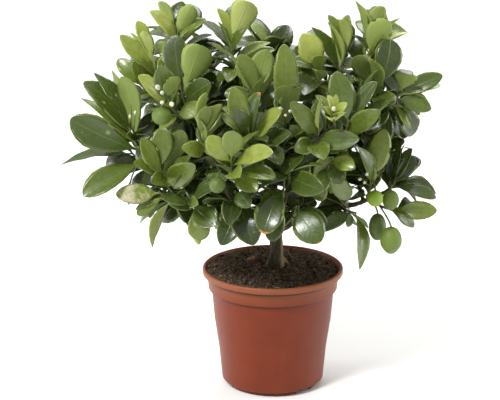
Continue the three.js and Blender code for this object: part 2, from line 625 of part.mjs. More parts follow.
const plant = new THREE.Group();

function addPiece(name, body, look) {
  const mesh = new THREE.Mesh(geometryOf(body), new THREE.MeshStandardMaterial(look));
  mesh.name = name;
  plant.add(mesh);
}

addPiece('pot', potSolid(), terracotta);
const wood = woodSolid(0);
const woodRoom = woodSolid(gap);
addPiece('soil', soilSolid(woodRoom), peat);
addPiece('trunk', wood, bark);

// Wood comes first, then the twigs, the fruits, the buds and the leaves: each is cut to clear
// what comes before it.
const twigs = [];
let room = woodRoom;
for (const shoot of shoots) {
  twigs.push(largest(twigSolid(shoot, 0).subtract(room)));
  room = room.add(twigSolid(shoot, gap));
}
const fruitBodies = [];
for (const fruit of fruits) {
  fruitBodies.push(largest(fruitSolid(fruit, 0).subtract(room)));
  room = room.add(fruitSolid(fruit, gap));
}
const budBodies = [];
for (const spray of budSprays) {
  budBodies.push(largest(budSolid(spray, 0).subtract(room)));
  room = room.add(budSolid(spray, gap));
}

const grown = growLeaves();
const fixedThings = [woodRoom, ...fruits.map((fruit) => fruitSolid(fruit, gap)),
  ...budSprays.map((spray) => budSolid(spray, gap))];
let leafRoom = joined(fixedThings);
const shootBodies = [];
shoots.forEach((shoot, index) => {
  const otherTwigs = shoots.filter((other) => other !== shoot);
  const twigRoom = joined(otherTwigs.map((other) => twigSolid(other, gap)));
  const blades = joined(grown[index].map((leaf) => leafSolid(leaf, 0)));
  let clear = blades.subtract(twigRoom).subtract(leafRoom);
  for (const earlier of shootBodies.filter((other) => boxesMeet(other, clear))) {
    const uncut = clear;
    clear = uncut.subtract(earlier);
    uncut.delete();
  }
  const body = largest(clear.add(twigs[index]));
  shootBodies.push(body);
  addPiece('shoot_' + shoot.name, body, leafGreen);
  const roomBefore = leafRoom;
  leafRoom = leafRoom.add(joined(grown[index].map((leaf) => leafSolid(leaf, gap))));
  roomBefore.delete();
});

fruits.forEach((fruit, index) => addPiece(fruit.name, fruitBodies[index], fruitGreen));
budSprays.forEach((spray, index) => addPiece(spray.name, budBodies[index], petalWhite));

export default plant;
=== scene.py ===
import collections
import functools
import math
import random

import bpy
import numpy as np
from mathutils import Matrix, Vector
from mathutils.kdtree import KDTree


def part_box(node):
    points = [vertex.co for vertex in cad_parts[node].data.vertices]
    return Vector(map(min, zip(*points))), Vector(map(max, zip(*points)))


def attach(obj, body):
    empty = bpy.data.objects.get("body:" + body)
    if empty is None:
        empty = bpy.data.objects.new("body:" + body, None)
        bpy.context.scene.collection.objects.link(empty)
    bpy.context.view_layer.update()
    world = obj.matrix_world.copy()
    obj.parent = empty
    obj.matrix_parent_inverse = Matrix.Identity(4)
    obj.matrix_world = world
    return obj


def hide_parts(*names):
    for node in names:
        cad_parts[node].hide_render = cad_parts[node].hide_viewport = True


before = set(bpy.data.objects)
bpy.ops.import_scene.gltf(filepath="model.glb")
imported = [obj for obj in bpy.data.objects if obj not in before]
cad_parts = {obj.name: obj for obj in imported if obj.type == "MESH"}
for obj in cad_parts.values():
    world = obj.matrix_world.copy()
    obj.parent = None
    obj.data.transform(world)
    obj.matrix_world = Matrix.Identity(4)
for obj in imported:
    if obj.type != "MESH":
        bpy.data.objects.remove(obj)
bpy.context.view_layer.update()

MM = 0.001
pot_low, pot_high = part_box("pot")
soil_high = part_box("soil")[1]

# The pot, in millimetres.
POT_HEIGHT = pot_high.z / MM
RIM_RADIUS = (pot_high.x - pot_low.x) / 2 / MM
LIP_HEIGHT = 7.5
LIP_REACH = 5.5
COLLAR_HEIGHT = 18.0
COLLAR_TAPER = 1.6
COLLAR_STEP = 3.6
FOOT_RADIUS = 61.7
FOOT_HEIGHT = 5.0
FOOT_RING = 55.0
FOOT_RING_WIDTH = 4.0
PAD_RADIUS = 14.0
POT_WALL = 1.8
DRAINS = 3
DRAIN_TURN = 0.61
DRAIN_WIDTH = 23.0
DRAIN_REACH = 12.0
DRAIN_RISE = 8.0
HOLE_RADIUS = 4.5
HOLE_PLACE = 36.0
POT_STEPS = 128
SOIL_TOP = soil_high.z / MM

# The soil: its level at the wall, the spread of its mound, and what lies on it.
SOIL_EDGE = POT_HEIGHT - 3.4
MOUND_RADIUS = 74.0
SOIL_STEPS = 110
SOIL_RINGS = 30
CRUMBS = 1500
FIBRES = 260
CHIPS = 46

# The wood and the crown.
TRUNK_RADIUS = 8.5
TRUNK_FLARE = 2.0
TRUNK_TAPER = 1.0
TRUNK_PLACE = (5.0, 0.0)
TRUNK_BURIED = 45.0
BRANCHLET_RADIUS = 2.5
TWIG_RADIUS = 1.9
BARK_GRAIN = 1.1
LEAF_ARCH = 0.07
CROWN_WIDTH = 460.0
CROWN_HEIGHT = 331.0
CROWN_MIDDLE = -27.0
CROWN_REACH = (0.44, 0.4, 0.43)

# The camera looks down at the plant by this much.
VIEW_RISE = math.radians(17.3)
CAMERA_AIM = Vector((-0.0276, 0, 0.231))
CAMERA_DISTANCE = 3.0

# The woody frame: each limb's points, its radius at the start and at the end.
LIMBS = [
    ([[3, 0, 192], [-45, -12, 220], [-100, -18, 232], [-128, -20, 258], [-150, -13, 284]], 4, 2.2),
    ([[2, 0, 200], [-40, 5, 270], [-80, 0, 330], [-110, 2, 392]], 4.8, 2.2),
    ([[3, 0, 200], [-10, 12, 280], [-30, 8, 335], [-44, 2, 380]], 4.8, 2.2),
    ([[4, 0, 200], [40, 6, 280], [78, 8, 345], [106, 2, 388]], 4.8, 2.2),
    ([[5, 0, 192], [52, -6, 220], [98, -14, 230], [136, -12, 246]], 4.8, 2.2),
    ([[40, 6, 280], [95, 2, 312], [136, 0, 345]], 3.4, 2.2),
    ([[4, -1, 196], [8, -58, 230], [14, -82, 262], [22, -78, 310]], 4, 2.2),
    ([[2, -1, 198], [-34, -48, 236], [-52, -84, 262], [-66, -82, 300]], 4, 2.2),
    ([[4, 1, 198], [2, 58, 260], [0, 98, 318]], 4, 2.2),
    ([[2, 1, 198], [-55, 50, 262], [-106, 76, 314]], 4, 2.2),
    ([[5, 1, 198], [56, 50, 262], [102, 72, 310]], 4, 2.2),
]

# The leafy shoots. Each has a twig from base to tip, a number of filling leaves and their usual
# size, a tone from 0 for old dark green to 1 for young bright green, and leaves placed one by one
# from the lowest up: [x, y, z of the tip, width, turn of the face to the front].
Shoot = collections.namedtuple("Shoot", "name base tip fill size tone leaves")
SHOOTS = [
    Shoot("crown_left", [-110, 5, 400], [-116, 5, 444], 4, 40, 0.7,
          [[-145, -22, 467, 18, 1], [-84, -8, 446, 7, 0], [-79, 0, 453, 15, 0],
           [-94, -18, 473, 23, -1], [-134, 2, 474, 13, -0.6]]),
    Shoot("crown_left_face", [-100, -15, 345], [-110, -38, 390], 2, 42, 0.3,
          [[-73, -66, 394, 28, 2], [-84, -62, 438, 36, -1.5], [-117, -20, 439, 34, 1.5]]),
    Shoot("left_upper", [-130, 0, 368], [-146, 0, 410], 3, 40, 0.75,
          [[-168, -8, 412, 10, 0], [-168, 8, 436, 10, -1], [-180, 0, 434, 20, 0],
           [-151, -16, 443, 17, -1.5], [-160, 5, 450, 15, 1]]),
    Shoot("left_budding", [-106, -35, 342], [-123, -70, 376], 3, 32, 0.6,
          [[-78, -85, 371, 20, 1.5], [-156, -75, 404, 19, 1], [-114, -95, 408, 20, -1],
           [-131, -78, 417, 27, 1]]),
    Shoot("far_left", [-153, -12, 288], [-171, -10, 324], 1, 48, 0.4,
          [[-239, -25, 338, 40, 1], [-228, -5, 359, 18, 0], [-178, -8, 386, 27, -1],
           [-224, 2, 377, 27, 0.6], [-212, 8, 387, 17, 0.5], [-191, 14, 388, 14, -1]]),
    Shoot("left_back", [-118, 22, 330], [-158, 32, 370], 4, 42, 0.35,
          [[-166, 18, 398, 22, 1], [-186, 42, 394, 20, 1]]),
    Shoot("left_reach", [-146, -6, 276], [-170, -2, 292], 1, 38, 0.25,
          [[-225, -38, 248, 30, 0.8], [-189, -5, 277, 17, 1], [-254, 0, 275, 15, 0.5]]),
    Shoot("left_low_front", [-120, -24, 250], [-134, -52, 286], 0, 40, 0.3,
          [[-97, -72, 308, 16, 0.5], [-92, -80, 298, 30, 1.5], [-163, -66, 298, 17, 0.8],
           [-141, -100, 283, 22, 1], [-154, -62, 325, 21, 1], [-106, -50, 332, 25, -0.5],
           [-129, -42, 333, 29, 1]]),
    Shoot("left_under", [-112, -24, 234], [-136, -26, 250], 0, 40, 0.35,
          [[-144, -34, 182, 12, -0.5], [-164, -22, 226, 10, 0.5], [-162, -30, 222, 15, 0.5],
           [-187, -28, 247, 25, 0.5]]),
    Shoot("low_left", [-84, -44, 238], [-99, -84, 253], 1, 38, 0.3,
          [[-88, -62, 195, 14, -1], [-84, -72, 204, 26, 0.5], [-68, -108, 234, 32, 1.2],
           [-88, -115, 262, 15, 0.8], [-56, -118, 288, 15, 0]]),
    Shoot("low_middle_left", [-38, -72, 250], [-45, -112, 277], 1, 44, 0.05,
          [[-61, -118, 213, 30, 0.8], [-23, -130, 217, 36, 1], [-52, -142, 245, 24, 1],
           [-27, -142, 268, 22, 1]]),
    Shoot("low_middle", [8, -72, 240], [12, -112, 290], 1, 42, 0.1,
          [[-4, -118, 218, 24, 0.6], [-12, -142, 235, 34, 1]]),
    Shoot("low_middle_right", [24, -66, 236], [26, -110, 258], 1, 42, 0.12,
          [[62, -98, 232, 24, 0.5], [53, -132, 221, 37, 1]]),
    Shoot("front_middle", [-46, -98, 292], [-49, -142, 324], 0, 34, 0.48,
          [[-20, -150, 288, 25, 0.8], [-40, -172, 312, 23, 1], [1, -150, 305, 16, 0.6],
           [-84, -138, 342, 9, 0], [-2, -160, 337, 21, 1.2], [-17, -130, 354, 8, 0],
           [-75, -140, 350, 23, 1], [-49, -165, 364, 25, -1]]),
    Shoot("front_left_upper", [-75, -80, 312], [-88, -112, 352], 1, 38, 0.55,
          [[-105, -135, 335, 20, 0.5], [-98, -120, 375, 8, 0], [-61, -120, 383, 16, -0.8],
           [-76, -130, 383, 18, -0.5], [-77, -105, 392, 12, -0.5]]),
    Shoot("front_centre", [-22, -72, 312], [-30, -102, 350], 1, 42, 0.5,
          [[9, -100, 372, 18, 1], [-17, -98, 390, 16, 1], [-47, -118, 377, 19, 0.5],
           [-48, -100, 397, 25, 0.8]]),
    Shoot("crown_middle", [-45, 1, 386], [-50, 0, 428], 3, 40, 0.65,
          [[1, 0, 417, 13, 0.3], [-4, -5, 427, 11, 0.3], [-65, -5, 452, 10, -0.5],
           [-29, -18, 449, 11, 1], [-66, 5, 465, 13, 0.5], [-30, -14, 478, 33, -1.2]]),
    Shoot("upper_centre", [-18, -30, 342], [-18, -52, 384], 2, 40, 0.55,
          [[-7, -78, 408, 12, -0.5], [-56, -48, 428, 10, 0], [-39, -64, 427, 25, -0.8],
           [-8, -46, 428, 30, -0.3]]),
    Shoot("upper_centre_right", [14, -42, 318], [12, -72, 364], 2, 40, 0.4,
          [[32, -95, 398, 20, 0], [14, -108, 402, 30, -0.5], [12, -52, 436, 30, 1.5]]),
    Shoot("crown_middle_right", [50, -8, 366], [56, -14, 406], 2, 40, 0.65,
          [[50, -55, 405, 18, -1], [55, -42, 420, 18, -1], [34, -12, 439, 32, 0.5]]),
    Shoot("crown_right_inner", [74, 2, 374], [84, 0, 418], 3, 40, 0.55,
          [[46, 0, 444, 15, 0.3], [64, -8, 453, 11, -1], [65, 5, 457, 17, 0.2],
           [82, -16, 457, 15, -0.3], [88, 2, 458, 15, 0]]),
    Shoot("crown_right", [107, 1, 392], [116, 0, 432], 1, 40, 0.72,
          [[158, 0, 437, 10, 0], [147, -6, 456, 11, 0], [132, -30, 459, 30, -0.8],
           [110, 5, 464, 12, 0.5], [96, 0, 475, 13, -0.8], [127, -10, 471, 19, -0.8]]),
    Shoot("right_upper", [110, -10, 344], [126, -26, 384], 2, 40, 0.25,
          [[122, -66, 412, 15, 0.8], [117, -56, 418, 17, -0.5], [94, -52, 421, 25, -1],
           [137, -12, 432, 33, 1.4]]),
    Shoot("right_outer", [138, -2, 348], [152, -2, 368], 2, 38, 0.55,
          [[163, -2, 321, 10, 0], [164, -4, 331, 5, 0], [187, -4, 345, 21, 0],
           [198, 0, 373, 13, -0.3], [200, 2, 385, 22, 0.8], [158, -30, 394, 30, 1]]),
    Shoot("front_right_upper", [80, -60, 324], [86, -92, 356], 1, 40, 0.2,
          [[141, -76, 380, 13, 0.3], [121, -112, 372, 23, 1.2], [118, -80, 398, 18, 1],
           [71, -86, 412, 31, 1.5]]),
    Shoot("front_star", [70, -98, 350], [67, -128, 376], 0, 18, 0.95,
          [[62, -146, 371, 8, 1], [79, -146, 380, 9, 1], [55, -138, 384, 8, 1],
           [82, -140, 389, 10, 1], [60, -132, 396, 9, 1], [70, -130, 396, 9, 1]]),
    Shoot("front_right", [44, -76, 316], [52, -110, 350], 1, 40, 0.45,
          [[24, -130, 330, 21, 1], [56, -142, 323, 27, 1], [97, -126, 343, 24, 0.6],
           [18, -126, 386, 22, 1.2], [54, -120, 392, 6, 0]]),
    Shoot("front_right_low", [58, -58, 276], [66, -98, 314], 1, 38, 0.4,
          [[50, -62, 250, 18, 0.8], [92, -50, 250, 22, 0.8], [46, -125, 276, 20, 1],
           [78, -112, 286, 22, 0.6], [92, -116, 307, 20, 1]]),
    Shoot("front_low", [18, -80, 272], [18, -112, 310], 1, 40, 0.45,
          [[57, -148, 289, 29, 1.2]]),
    Shoot("right_low", [112, -20, 242], [117, -40, 274], 1, 40, 0.4,
          [[100, -50, 312, 8, 0], [98, -64, 316, 16, 0.8], [131, -28, 327, 29, 1.2]]),
    Shoot("right_low_outer", [139, -12, 249], [147, -18, 266], 2, 34, 0.15,
          [[194, -20, 240, 16, 0.6], [168, -22, 290, 21, 0.8], [164, -16, 300, 15, 0.8],
           [157, -4, 304, 5, 0], [153, -10, 310, 8, 0]]),
    Shoot("right_bottom", [128, -16, 228], [148, -22, 222], 0, 34, 0.6,
          [[172, -28, 215, 9, 0], [195, -26, 226, 23, 0.9]]),
    Shoot("right_hanging", [86, -20, 224], [99, -30, 224], 0, 36, 0.5,
          [[90, -20, 203, 10, 0], [53, -52, 209, 19, 0.5], [103, -42, 157, 16, 0.8]]),
    Shoot("back_top", [-4, 62, 352], [-8, 80, 404], 8, 44, 0.3, []),
    Shoot("back_left_top", [-72, 48, 350], [-84, 68, 400], 8, 44, 0.3, []),
    Shoot("back_right_top", [62, 46, 350], [74, 66, 398], 8, 44, 0.3, []),
    Shoot("back_left", [-112, 80, 318], [-142, 104, 346], 8, 46, 0.3, []),
    Shoot("back_right", [106, 76, 314], [132, 98, 344], 8, 46, 0.3, []),
    Shoot("back_middle", [0, 104, 324], [-2, 140, 350], 8, 46, 0.3, []),
    Shoot("back_low_left", [-66, 68, 262], [-92, 108, 272], 7, 46, 0.3, []),
    Shoot("back_low_right", [64, 66, 262], [90, 104, 270], 7, 46, 0.3, []),
    Shoot("back_low", [0, 78, 264], [-2, 122, 266], 7, 46, 0.3, []),
    Shoot("left_side", [-96, 20, 246], [-132, 50, 268], 6, 44, 0.3, []),
    Shoot("right_side", [96, 18, 266], [140, 46, 290], 6, 44, 0.3, []),
]

# The fruits: centre, half width, half height, how pointed the lower end is, where the stalk comes
# from, and how ripe it is.
FRUITS = [
    ("ripening", [120, -48, 248], 9.5, 10, 0, [117, -34, 268], 0.9),
    ("right", [139, -38, 243], 10, 12, 0, [138, -22, 262], 0.3),
    ("long", [124, -34, 208], 10.5, 17, 0.1, [120, -18, 232], 0.1),
    ("low", [139, -58, 199], 13, 17, 0.3, [126, -22, 232], 0.32),
    ("front", [-65, -132, 290], 9.5, 9.5, 0, [-56, -96, 300], 0.15),
    ("left", [-129, -96, 362], 11.5, 10.5, 0, [-119, -68, 374], 0.22),
]

# The flower buds, in groups on one short stem: each bud's place and radius.
BUD_SPRAYS = [
    ("buds_left", [-165, -24, 322], [[-168, -40, 346, 2.2], [-162, -38, 350, 2.2]]),
    ("buds_left_middle", [-124, -78, 378], [[-133, -100, 397, 3.4], [-128, -102, 391, 2.8],
                                            [-128, -104, 380, 3], [-117, -104, 378, 3.6]]),
    ("buds_centre", [14, -78, 360], [[7, -108, 374, 2.6], [18, -112, 372, 2.4],
                                     [13, -108, 366, 2.2]]),
    ("buds_right", [112, -42, 270], [[109, -62, 282, 2.6], [101, -62, 276, 2.4],
                                     [106, -66, 273, 2.2]]),
    ("bud_star", [67, -131, 378], [[67, -138, 382, 3.2]]),
]


# ---- Curves ---------------------------------------------------------------------------------

def unit(vector):
    return vector / np.linalg.norm(vector)


def square_to(direction, hint):
    """The part of hint that is square to a direction, as a direction."""
    return unit(hint - direction * np.dot(hint, direction))


def limb_point(points, share):
    """A point of the smooth curve through points, at a share of its spans."""
    points = np.asarray(points, float)
    spans = len(points) - 1
    at = share * spans
    span = min(int(at), spans - 1)
    t = at - span
    start, end = points[span], points[span + 1]
    before = points[span - 1] if span > 0 else 2 * start - end
    after = points[span + 2] if span + 2 <= spans else 2 * end - start
    out, arrive = 0.5 * (end - before), 0.5 * (after - start)
    square = 3 * (end - start) - 2 * out - arrive
    cube = 2 * (start - end) + out + arrive
    return start + out * t + square * t * t + cube * t * t * t


def twig_points(shoot):
    """A twig's three guide points: it bends up from its base."""
    base, tip = np.array(shoot.base, float), np.array(shoot.tip, float)
    bend = base + 0.55 * (tip - base)
    bend[2] = base[2] + 0.3 * (tip[2] - base[2])
    return base, bend, tip


def bow_point(guides, share):
    """A point of the quadratic curve with three guide points."""
    start, bend, end = guides
    return (1 - share) ** 2 * start + 2 * share * (1 - share) * bend + share ** 2 * end


@functools.cache
def branchlet_roots():
    """Where each shoot's branchlet leaves its limb."""
    return {shoot.name: branchlet_start(shoot) for shoot in SHOOTS}


def branchlet_start(shoot):
    """Where the branchlet that carries a shoot leaves the nearest limb, below it if it can."""
    base = np.array(shoot.base, float)
    spots = [limb_point(points, step / 20) for points, _, _ in LIMBS for step in range(2, 21)]
    costs = [np.linalg.norm(spot - base) + max(0, spot[2] - base[2] + 8) for spot in spots]
    return spots[int(np.argmin(costs))]


# ---- Leaves in place ------------------------------------------------------------------------

# Where a leaf is measured, as shares of its length and of its half width.
ALONG_SAMPLES = (0.3, 0.42, 0.54, 0.66, 0.78, 0.9, 1)
ACROSS_SAMPLES = (-0.8, 0, 0.8)
UP = np.array([0.0, 0.0, 1.0])
VIEW_AWAY = np.array([0, math.cos(VIEW_RISE), -math.sin(VIEW_RISE)])
VIEW_UP = np.array([0, math.sin(VIEW_RISE), math.cos(VIEW_RISE)])


def chance(seed):
    """A number from 0 to 1 that is always the same for a seed."""
    wave = math.sin(seed * 12.9898) * 43758.5453
    return wave - math.floor(wave)


USUAL_WIDTH = 0.38      # of a leaf, as a share of its length
LEAF_TURNS = np.linspace(-1.35, 1.35, 55)
CLOSE = 6.5             # between the close points of a leaf


class Leaf:
    """A leaf's place: its base, the ways of its length, face and side, and its size."""

    def __init__(self, base, tip, width, face_hint, kind):
        self.base = base
        self.length = np.linalg.norm(tip - base)
        self.along = (tip - base) / self.length
        self.face = square_to(self.along, face_hint)
        self.side = np.cross(self.along, self.face)
        self.width = width
        self.slim = width / self.length
        self.kind = kind

    def points(self, alongs=ALONG_SAMPLES, acrosses=ACROSS_SAMPLES):
        """Points spread over the leaf."""
        found = []
        for along in alongs:
            bow = 4 * LEAF_ARCH * self.length * along * (1 - along)
            for across in acrosses:
                found.append(self.base + along * self.length * self.along
                             + across * self.width / 2 * self.side + bow * self.face)
        return np.array(found)

    def show_wide(self):
        """Turns the blade about its length until it shows as wide as it should from the front.
        One that shows slim is a blade of the usual width."""
        real = max(self.width, USUAL_WIDTH * self.length)
        along = unit(np.array([self.along[0], self.along @ VIEW_UP]))
        best, best_fault = self.side, math.inf
        for turn in LEAF_TURNS:
            side = math.cos(turn) * self.side + math.sin(turn) * self.face
            shown = abs(along[0] * (side @ VIEW_UP) - along[1] * side[0]) * real
            fault = abs(shown - self.width) + 1.5 * abs(turn)
            if fault < best_fault:
                best, best_fault = side, fault
        self.width = real
        self.side = best
        self.face = np.cross(best, self.along)

    def close_points(self):
        """Points spread so closely that nothing passes between them."""
        columns = 1 + math.ceil(self.width / CLOSE)
        rows = 1 + math.ceil(0.85 * self.length / CLOSE)
        return self.points(np.linspace(0.15, 1, rows), np.linspace(-0.9, 0.9, columns))


# Filling leaves: the turns that are tried, the turn from one leaf to the next, the width as a share
# of the length, the room that is enough, the most that counts, and the cost of leaving the crown.
SWINGS = (0, 0.4, -0.4, 0.8, -0.8, 1.2, -1.2, 1.7, -1.7)
LEAF_SPIRAL = 2.4
LEAF_SLIMNESS = 0.46
ROOM_WANTED = 7
MOST_ROOM = 20
OUTSIDE_COST = 200
WOOD_OWNER = -1


class Obstacles:
    """Points that leaves keep clear of, each with its radius and its owner."""

    def __init__(self):
        self.spots, self.radii, self.owners = [], [], []

    def add(self, points, radius, owner):
        self.spots.append(np.atleast_2d(points))
        self.radii.append(np.full(len(self.spots[-1]), float(radius)))
        self.owners.append(np.full(len(self.spots[-1]), owner))

    def room_at(self, points, own):
        """How far points keep from other things; far below zero when the tip leaves the crown."""
        spots, radii, owners = map(np.concatenate, (self.spots, self.radii, self.owners))
        tip = points[-2]
        wide, deep, high = CROWN_REACH
        reach = ((tip[0] - CROWN_MIDDLE) / (CROWN_WIDTH * wide), tip[1] / (CROWN_WIDTH * deep),
                 (tip[2] - SOIL_TOP - CROWN_HEIGHT * 0.5) / (CROWN_HEIGHT * high))
        outside = max(0, math.hypot(*reach) - 1)
        foreign = owners != own
        apart = np.linalg.norm(points[:, None] - spots[None, foreign], axis=2) - radii[foreign]
        return min(MOST_ROOM, apart.min()) - OUTSIDE_COST * outside


def wood_and_fruits():
    """The obstacles that are there before any leaf."""
    obstacles = Obstacles()
    for points, start, _ in LIMBS:
        line = np.array([limb_point(points, step / 16) for step in range(17)])
        obstacles.add(line, start - 2, WOOD_OWNER)
    for _, centre, _, half_height, _, _, _ in FRUITS:
        obstacles.add(np.array(centre, float), half_height - 2, WOOD_OWNER)
    return obstacles


def placed_leaves(shoot):
    """The leaves of a shoot that the chart places one by one."""
    twig = twig_points(shoot)
    axis = unit(twig[2] - twig[1])
    leaves = []
    for order, (x, y, z, width, turn) in enumerate(shoot.leaves):
        base = bow_point(twig, 0.25 + 0.75 * (order + 0.5) / len(shoot.leaves))
        hint = 0.35 * axis + UP + np.array([0, -turn, 0])
        leaves.append(Leaf(base, np.array([x, y, z], float), width, hint, "placed"))
    return leaves


def filling_leaf(index, order, obstacles):
    """One filling leaf of a shoot, swung about its twig until it has room."""
    shoot = SHOOTS[index]
    twig = twig_points(shoot)
    axis = unit(twig[2] - twig[1])
    first = square_to(axis, np.array([0.3, -1, 0.1]))
    second = np.cross(axis, first)
    rank = (order + 0.5) / shoot.fill
    base = bow_point(twig, 0.15 + 0.85 * rank)
    spread = 1.35 - 0.85 * rank
    size = shoot.size * (1 - 0.2 * rank) * (0.88 + 0.24 * chance(index * 31 + order))
    best, best_room = None, -math.inf
    for swing in SWINGS:
        angle = LEAF_SPIRAL * order + 1.7 * index + swing
        way = math.cos(spread) * axis + math.sin(spread) * (
            math.cos(angle) * first + math.sin(angle) * second)
        way = unit(way - 0.12 * UP)
        leaf = Leaf(base, base + size * way, LEAF_SLIMNESS * size, 0.6 * axis + UP, "filling")
        room = obstacles.room_at(leaf.points(), index)
        if room > best_room:
            best, best_room = leaf, room
        if room > ROOM_WANTED:
            break
    return best


def grown_leaves():
    """All leaves of all shoots: the placed ones, then the filling ones in the room that is left,
    then the small inner ones that close the crown."""
    obstacles = wood_and_fruits()
    grown = [placed_leaves(shoot) for shoot in SHOOTS]
    for index, leaves in enumerate(grown):
        for leaf in leaves:
            obstacles.add(leaf.points(), 0, index)
    for index, shoot in enumerate(SHOOTS):
        for order in range(shoot.fill):
            leaf = filling_leaf(index, order, obstacles)
            grown[index].append(leaf)
            obstacles.add(leaf.points(), 0, index)
    for leaf in [leaf for leaves in grown for leaf in leaves]:
        if leaf.kind == "placed":
            leaf.show_wide()
    drop_crossing_leaves(grown)
    add_inner_leaves(grown, obstacles)
    return grown


# Inner leaves: how many rounds of one to a shoot, how many are tried for each, and their sizes.
INNER_LEAVES = 18
INNER_TRIES = 110
INNER_SIZE = (36, 60)
INNER_SLIMNESS = (0.42, 0.56)
ON_BRANCHLET = 0.4      # share of the tries that start on the branchlet
HIDE_REACH = 7.0        # a leaf this near, from the front, is covered by a placed one
OUTLINE_REACH = 9.0     # how far the crown's outline may be passed
LEAST_ROOM = 3.4
PASSING_ROOM = 3.5      # a filling leaf nearer than this to a placed one is left out
LOW_EDGE = 184.0        # the lower edge of the crown, from the front
FIRST_LEAF = len(LIMBS) + len(FRUITS)


def tree_of(points):
    """A search tree of points."""
    tree = KDTree(len(points))
    for order, point in enumerate(points):
        tree.insert(point, order)
    tree.balance()
    return tree


def flat_spots(points):
    """Points as they are met from the front: across, up and nothing."""
    return np.stack([points[:, 0], points @ VIEW_UP, np.zeros(len(points))], 1)


def inner_leaf(shoot, picks):
    """A leaf tried somewhere on a shoot's twig or branchlet."""
    twig = twig_points(shoot)
    if picks.random() < ON_BRANCHLET:
        root = branchlet_roots()[shoot.name]
        base = root + picks.uniform(0.2, 1) * (twig[0] - root)
    else:
        base = bow_point(twig, picks.uniform(0, 0.8))
    way = unit(np.array([picks.gauss(0, 1), picks.gauss(0, 1), picks.gauss(0.2, 0.9)]))
    size = picks.uniform(*INNER_SIZE)
    hint = UP + np.array([0, picks.uniform(-1.6, 0.3), 0]) + 0.4 * way
    return Leaf(base, base + size * way, size * picks.uniform(*INNER_SLIMNESS), hint, "inner")


def drop_crossing_leaves(grown):
    """Leaves out the filling leaves that would pass through a placed one."""
    placed = [leaf for leaves in grown for leaf in leaves if leaf.kind == "placed"]
    near = tree_of(np.concatenate([leaf.close_points() for leaf in placed]))
    for leaves in grown:
        leaves[:] = [leaf for leaf in leaves if leaf.kind == "placed" or all(
            near.find(point)[2] > PASSING_ROOM for point in leaf.points()[6:])]


def add_inner_leaves(grown, obstacles):
    """Leaves that close the crown. They keep inside its outline and behind the placed leaves, as
    they are met from the front, and go where they close a gap."""
    leaves = [leaf for shoot_leaves in grown for leaf in shoot_leaves]
    front = np.concatenate([leaf.points() for leaf in leaves if leaf.kind == "placed"])
    front_tree, front_depth = tree_of(flat_spots(front)), front @ VIEW_AWAY
    outline = tree_of(flat_spots(np.concatenate([leaf.points() for leaf in leaves])))
    spots = [np.concatenate(obstacles.spots[:FIRST_LEAF])]
    radii = [np.concatenate(obstacles.radii[:FIRST_LEAF])]
    for leaf in leaves:
        spots.append(leaf.close_points())
        radii.append(np.zeros(len(spots[-1])))
    picks = random.Random(7)
    for _ in range(INNER_LEAVES):
        everything = np.concatenate(spots)
        gaps = np.concatenate(radii)
        solid_tree, flat_tree = tree_of(everything), tree_of(flat_spots(everything))
        for index, shoot in enumerate(SHOOTS):
            best, best_score = None, 0.0
            for _ in range(INNER_TRIES):
                leaf = inner_leaf(shoot, picks)
                points = leaf.points()
                room = min(near[2] - gaps[near[1]] for near in map(solid_tree.find, points[3:]))
                if room < LEAST_ROOM:
                    continue
                score = min(room, 6)
                for spot, depth in zip(flat_spots(points), points @ VIEW_AWAY):
                    score += 0.5 * min(flat_tree.find(spot)[2], 9)
                    score -= 3 * max(0, outline.find(spot)[2] - OUTLINE_REACH)
                    score -= 3 * max(0, LOW_EDGE - spot[1])
                    covered = front_tree.find_range(spot, HIDE_REACH)
                    score -= 4 * any(depth < front_depth[near[1]] + 2 for near in covered)
                if score > best_score:
                    best, best_score = leaf, score
            if best is not None:
                grown[index].append(best)
                spots.append(best.close_points())
                radii.append(np.zeros(len(spots[-1])))


# ---- Looks ----------------------------------------------------------------------------------

class Wire:
    """A socket of a look. Arithmetic on it adds Math nodes."""

    def __init__(self, look, socket):
        self.look = look
        self.socket = socket

    def math(self, operation, other=0.0, first=None):
        start = self if first is None else first
        return self.look.node("ShaderNodeMath", {"operation": operation}, {0: start, 1: other})

    def __add__(self, other):
        return self.math("ADD", other)

    def __radd__(self, other):
        return self.math("ADD", other)

    def __sub__(self, other):
        return self.math("SUBTRACT", other)

    def __rsub__(self, other):
        return self.math("SUBTRACT", self, first=other)

    def __mul__(self, other):
        return self.math("MULTIPLY", other)

    def __rmul__(self, other):
        return self.math("MULTIPLY", other)

    def __truediv__(self, other):
        return self.math("DIVIDE", other)

    def __abs__(self):
        return self.math("ABSOLUTE")

    def within(self):
        """The value held between 0 and 1."""
        return self.math("MINIMUM", 1.0).math("MAXIMUM", 0.0)


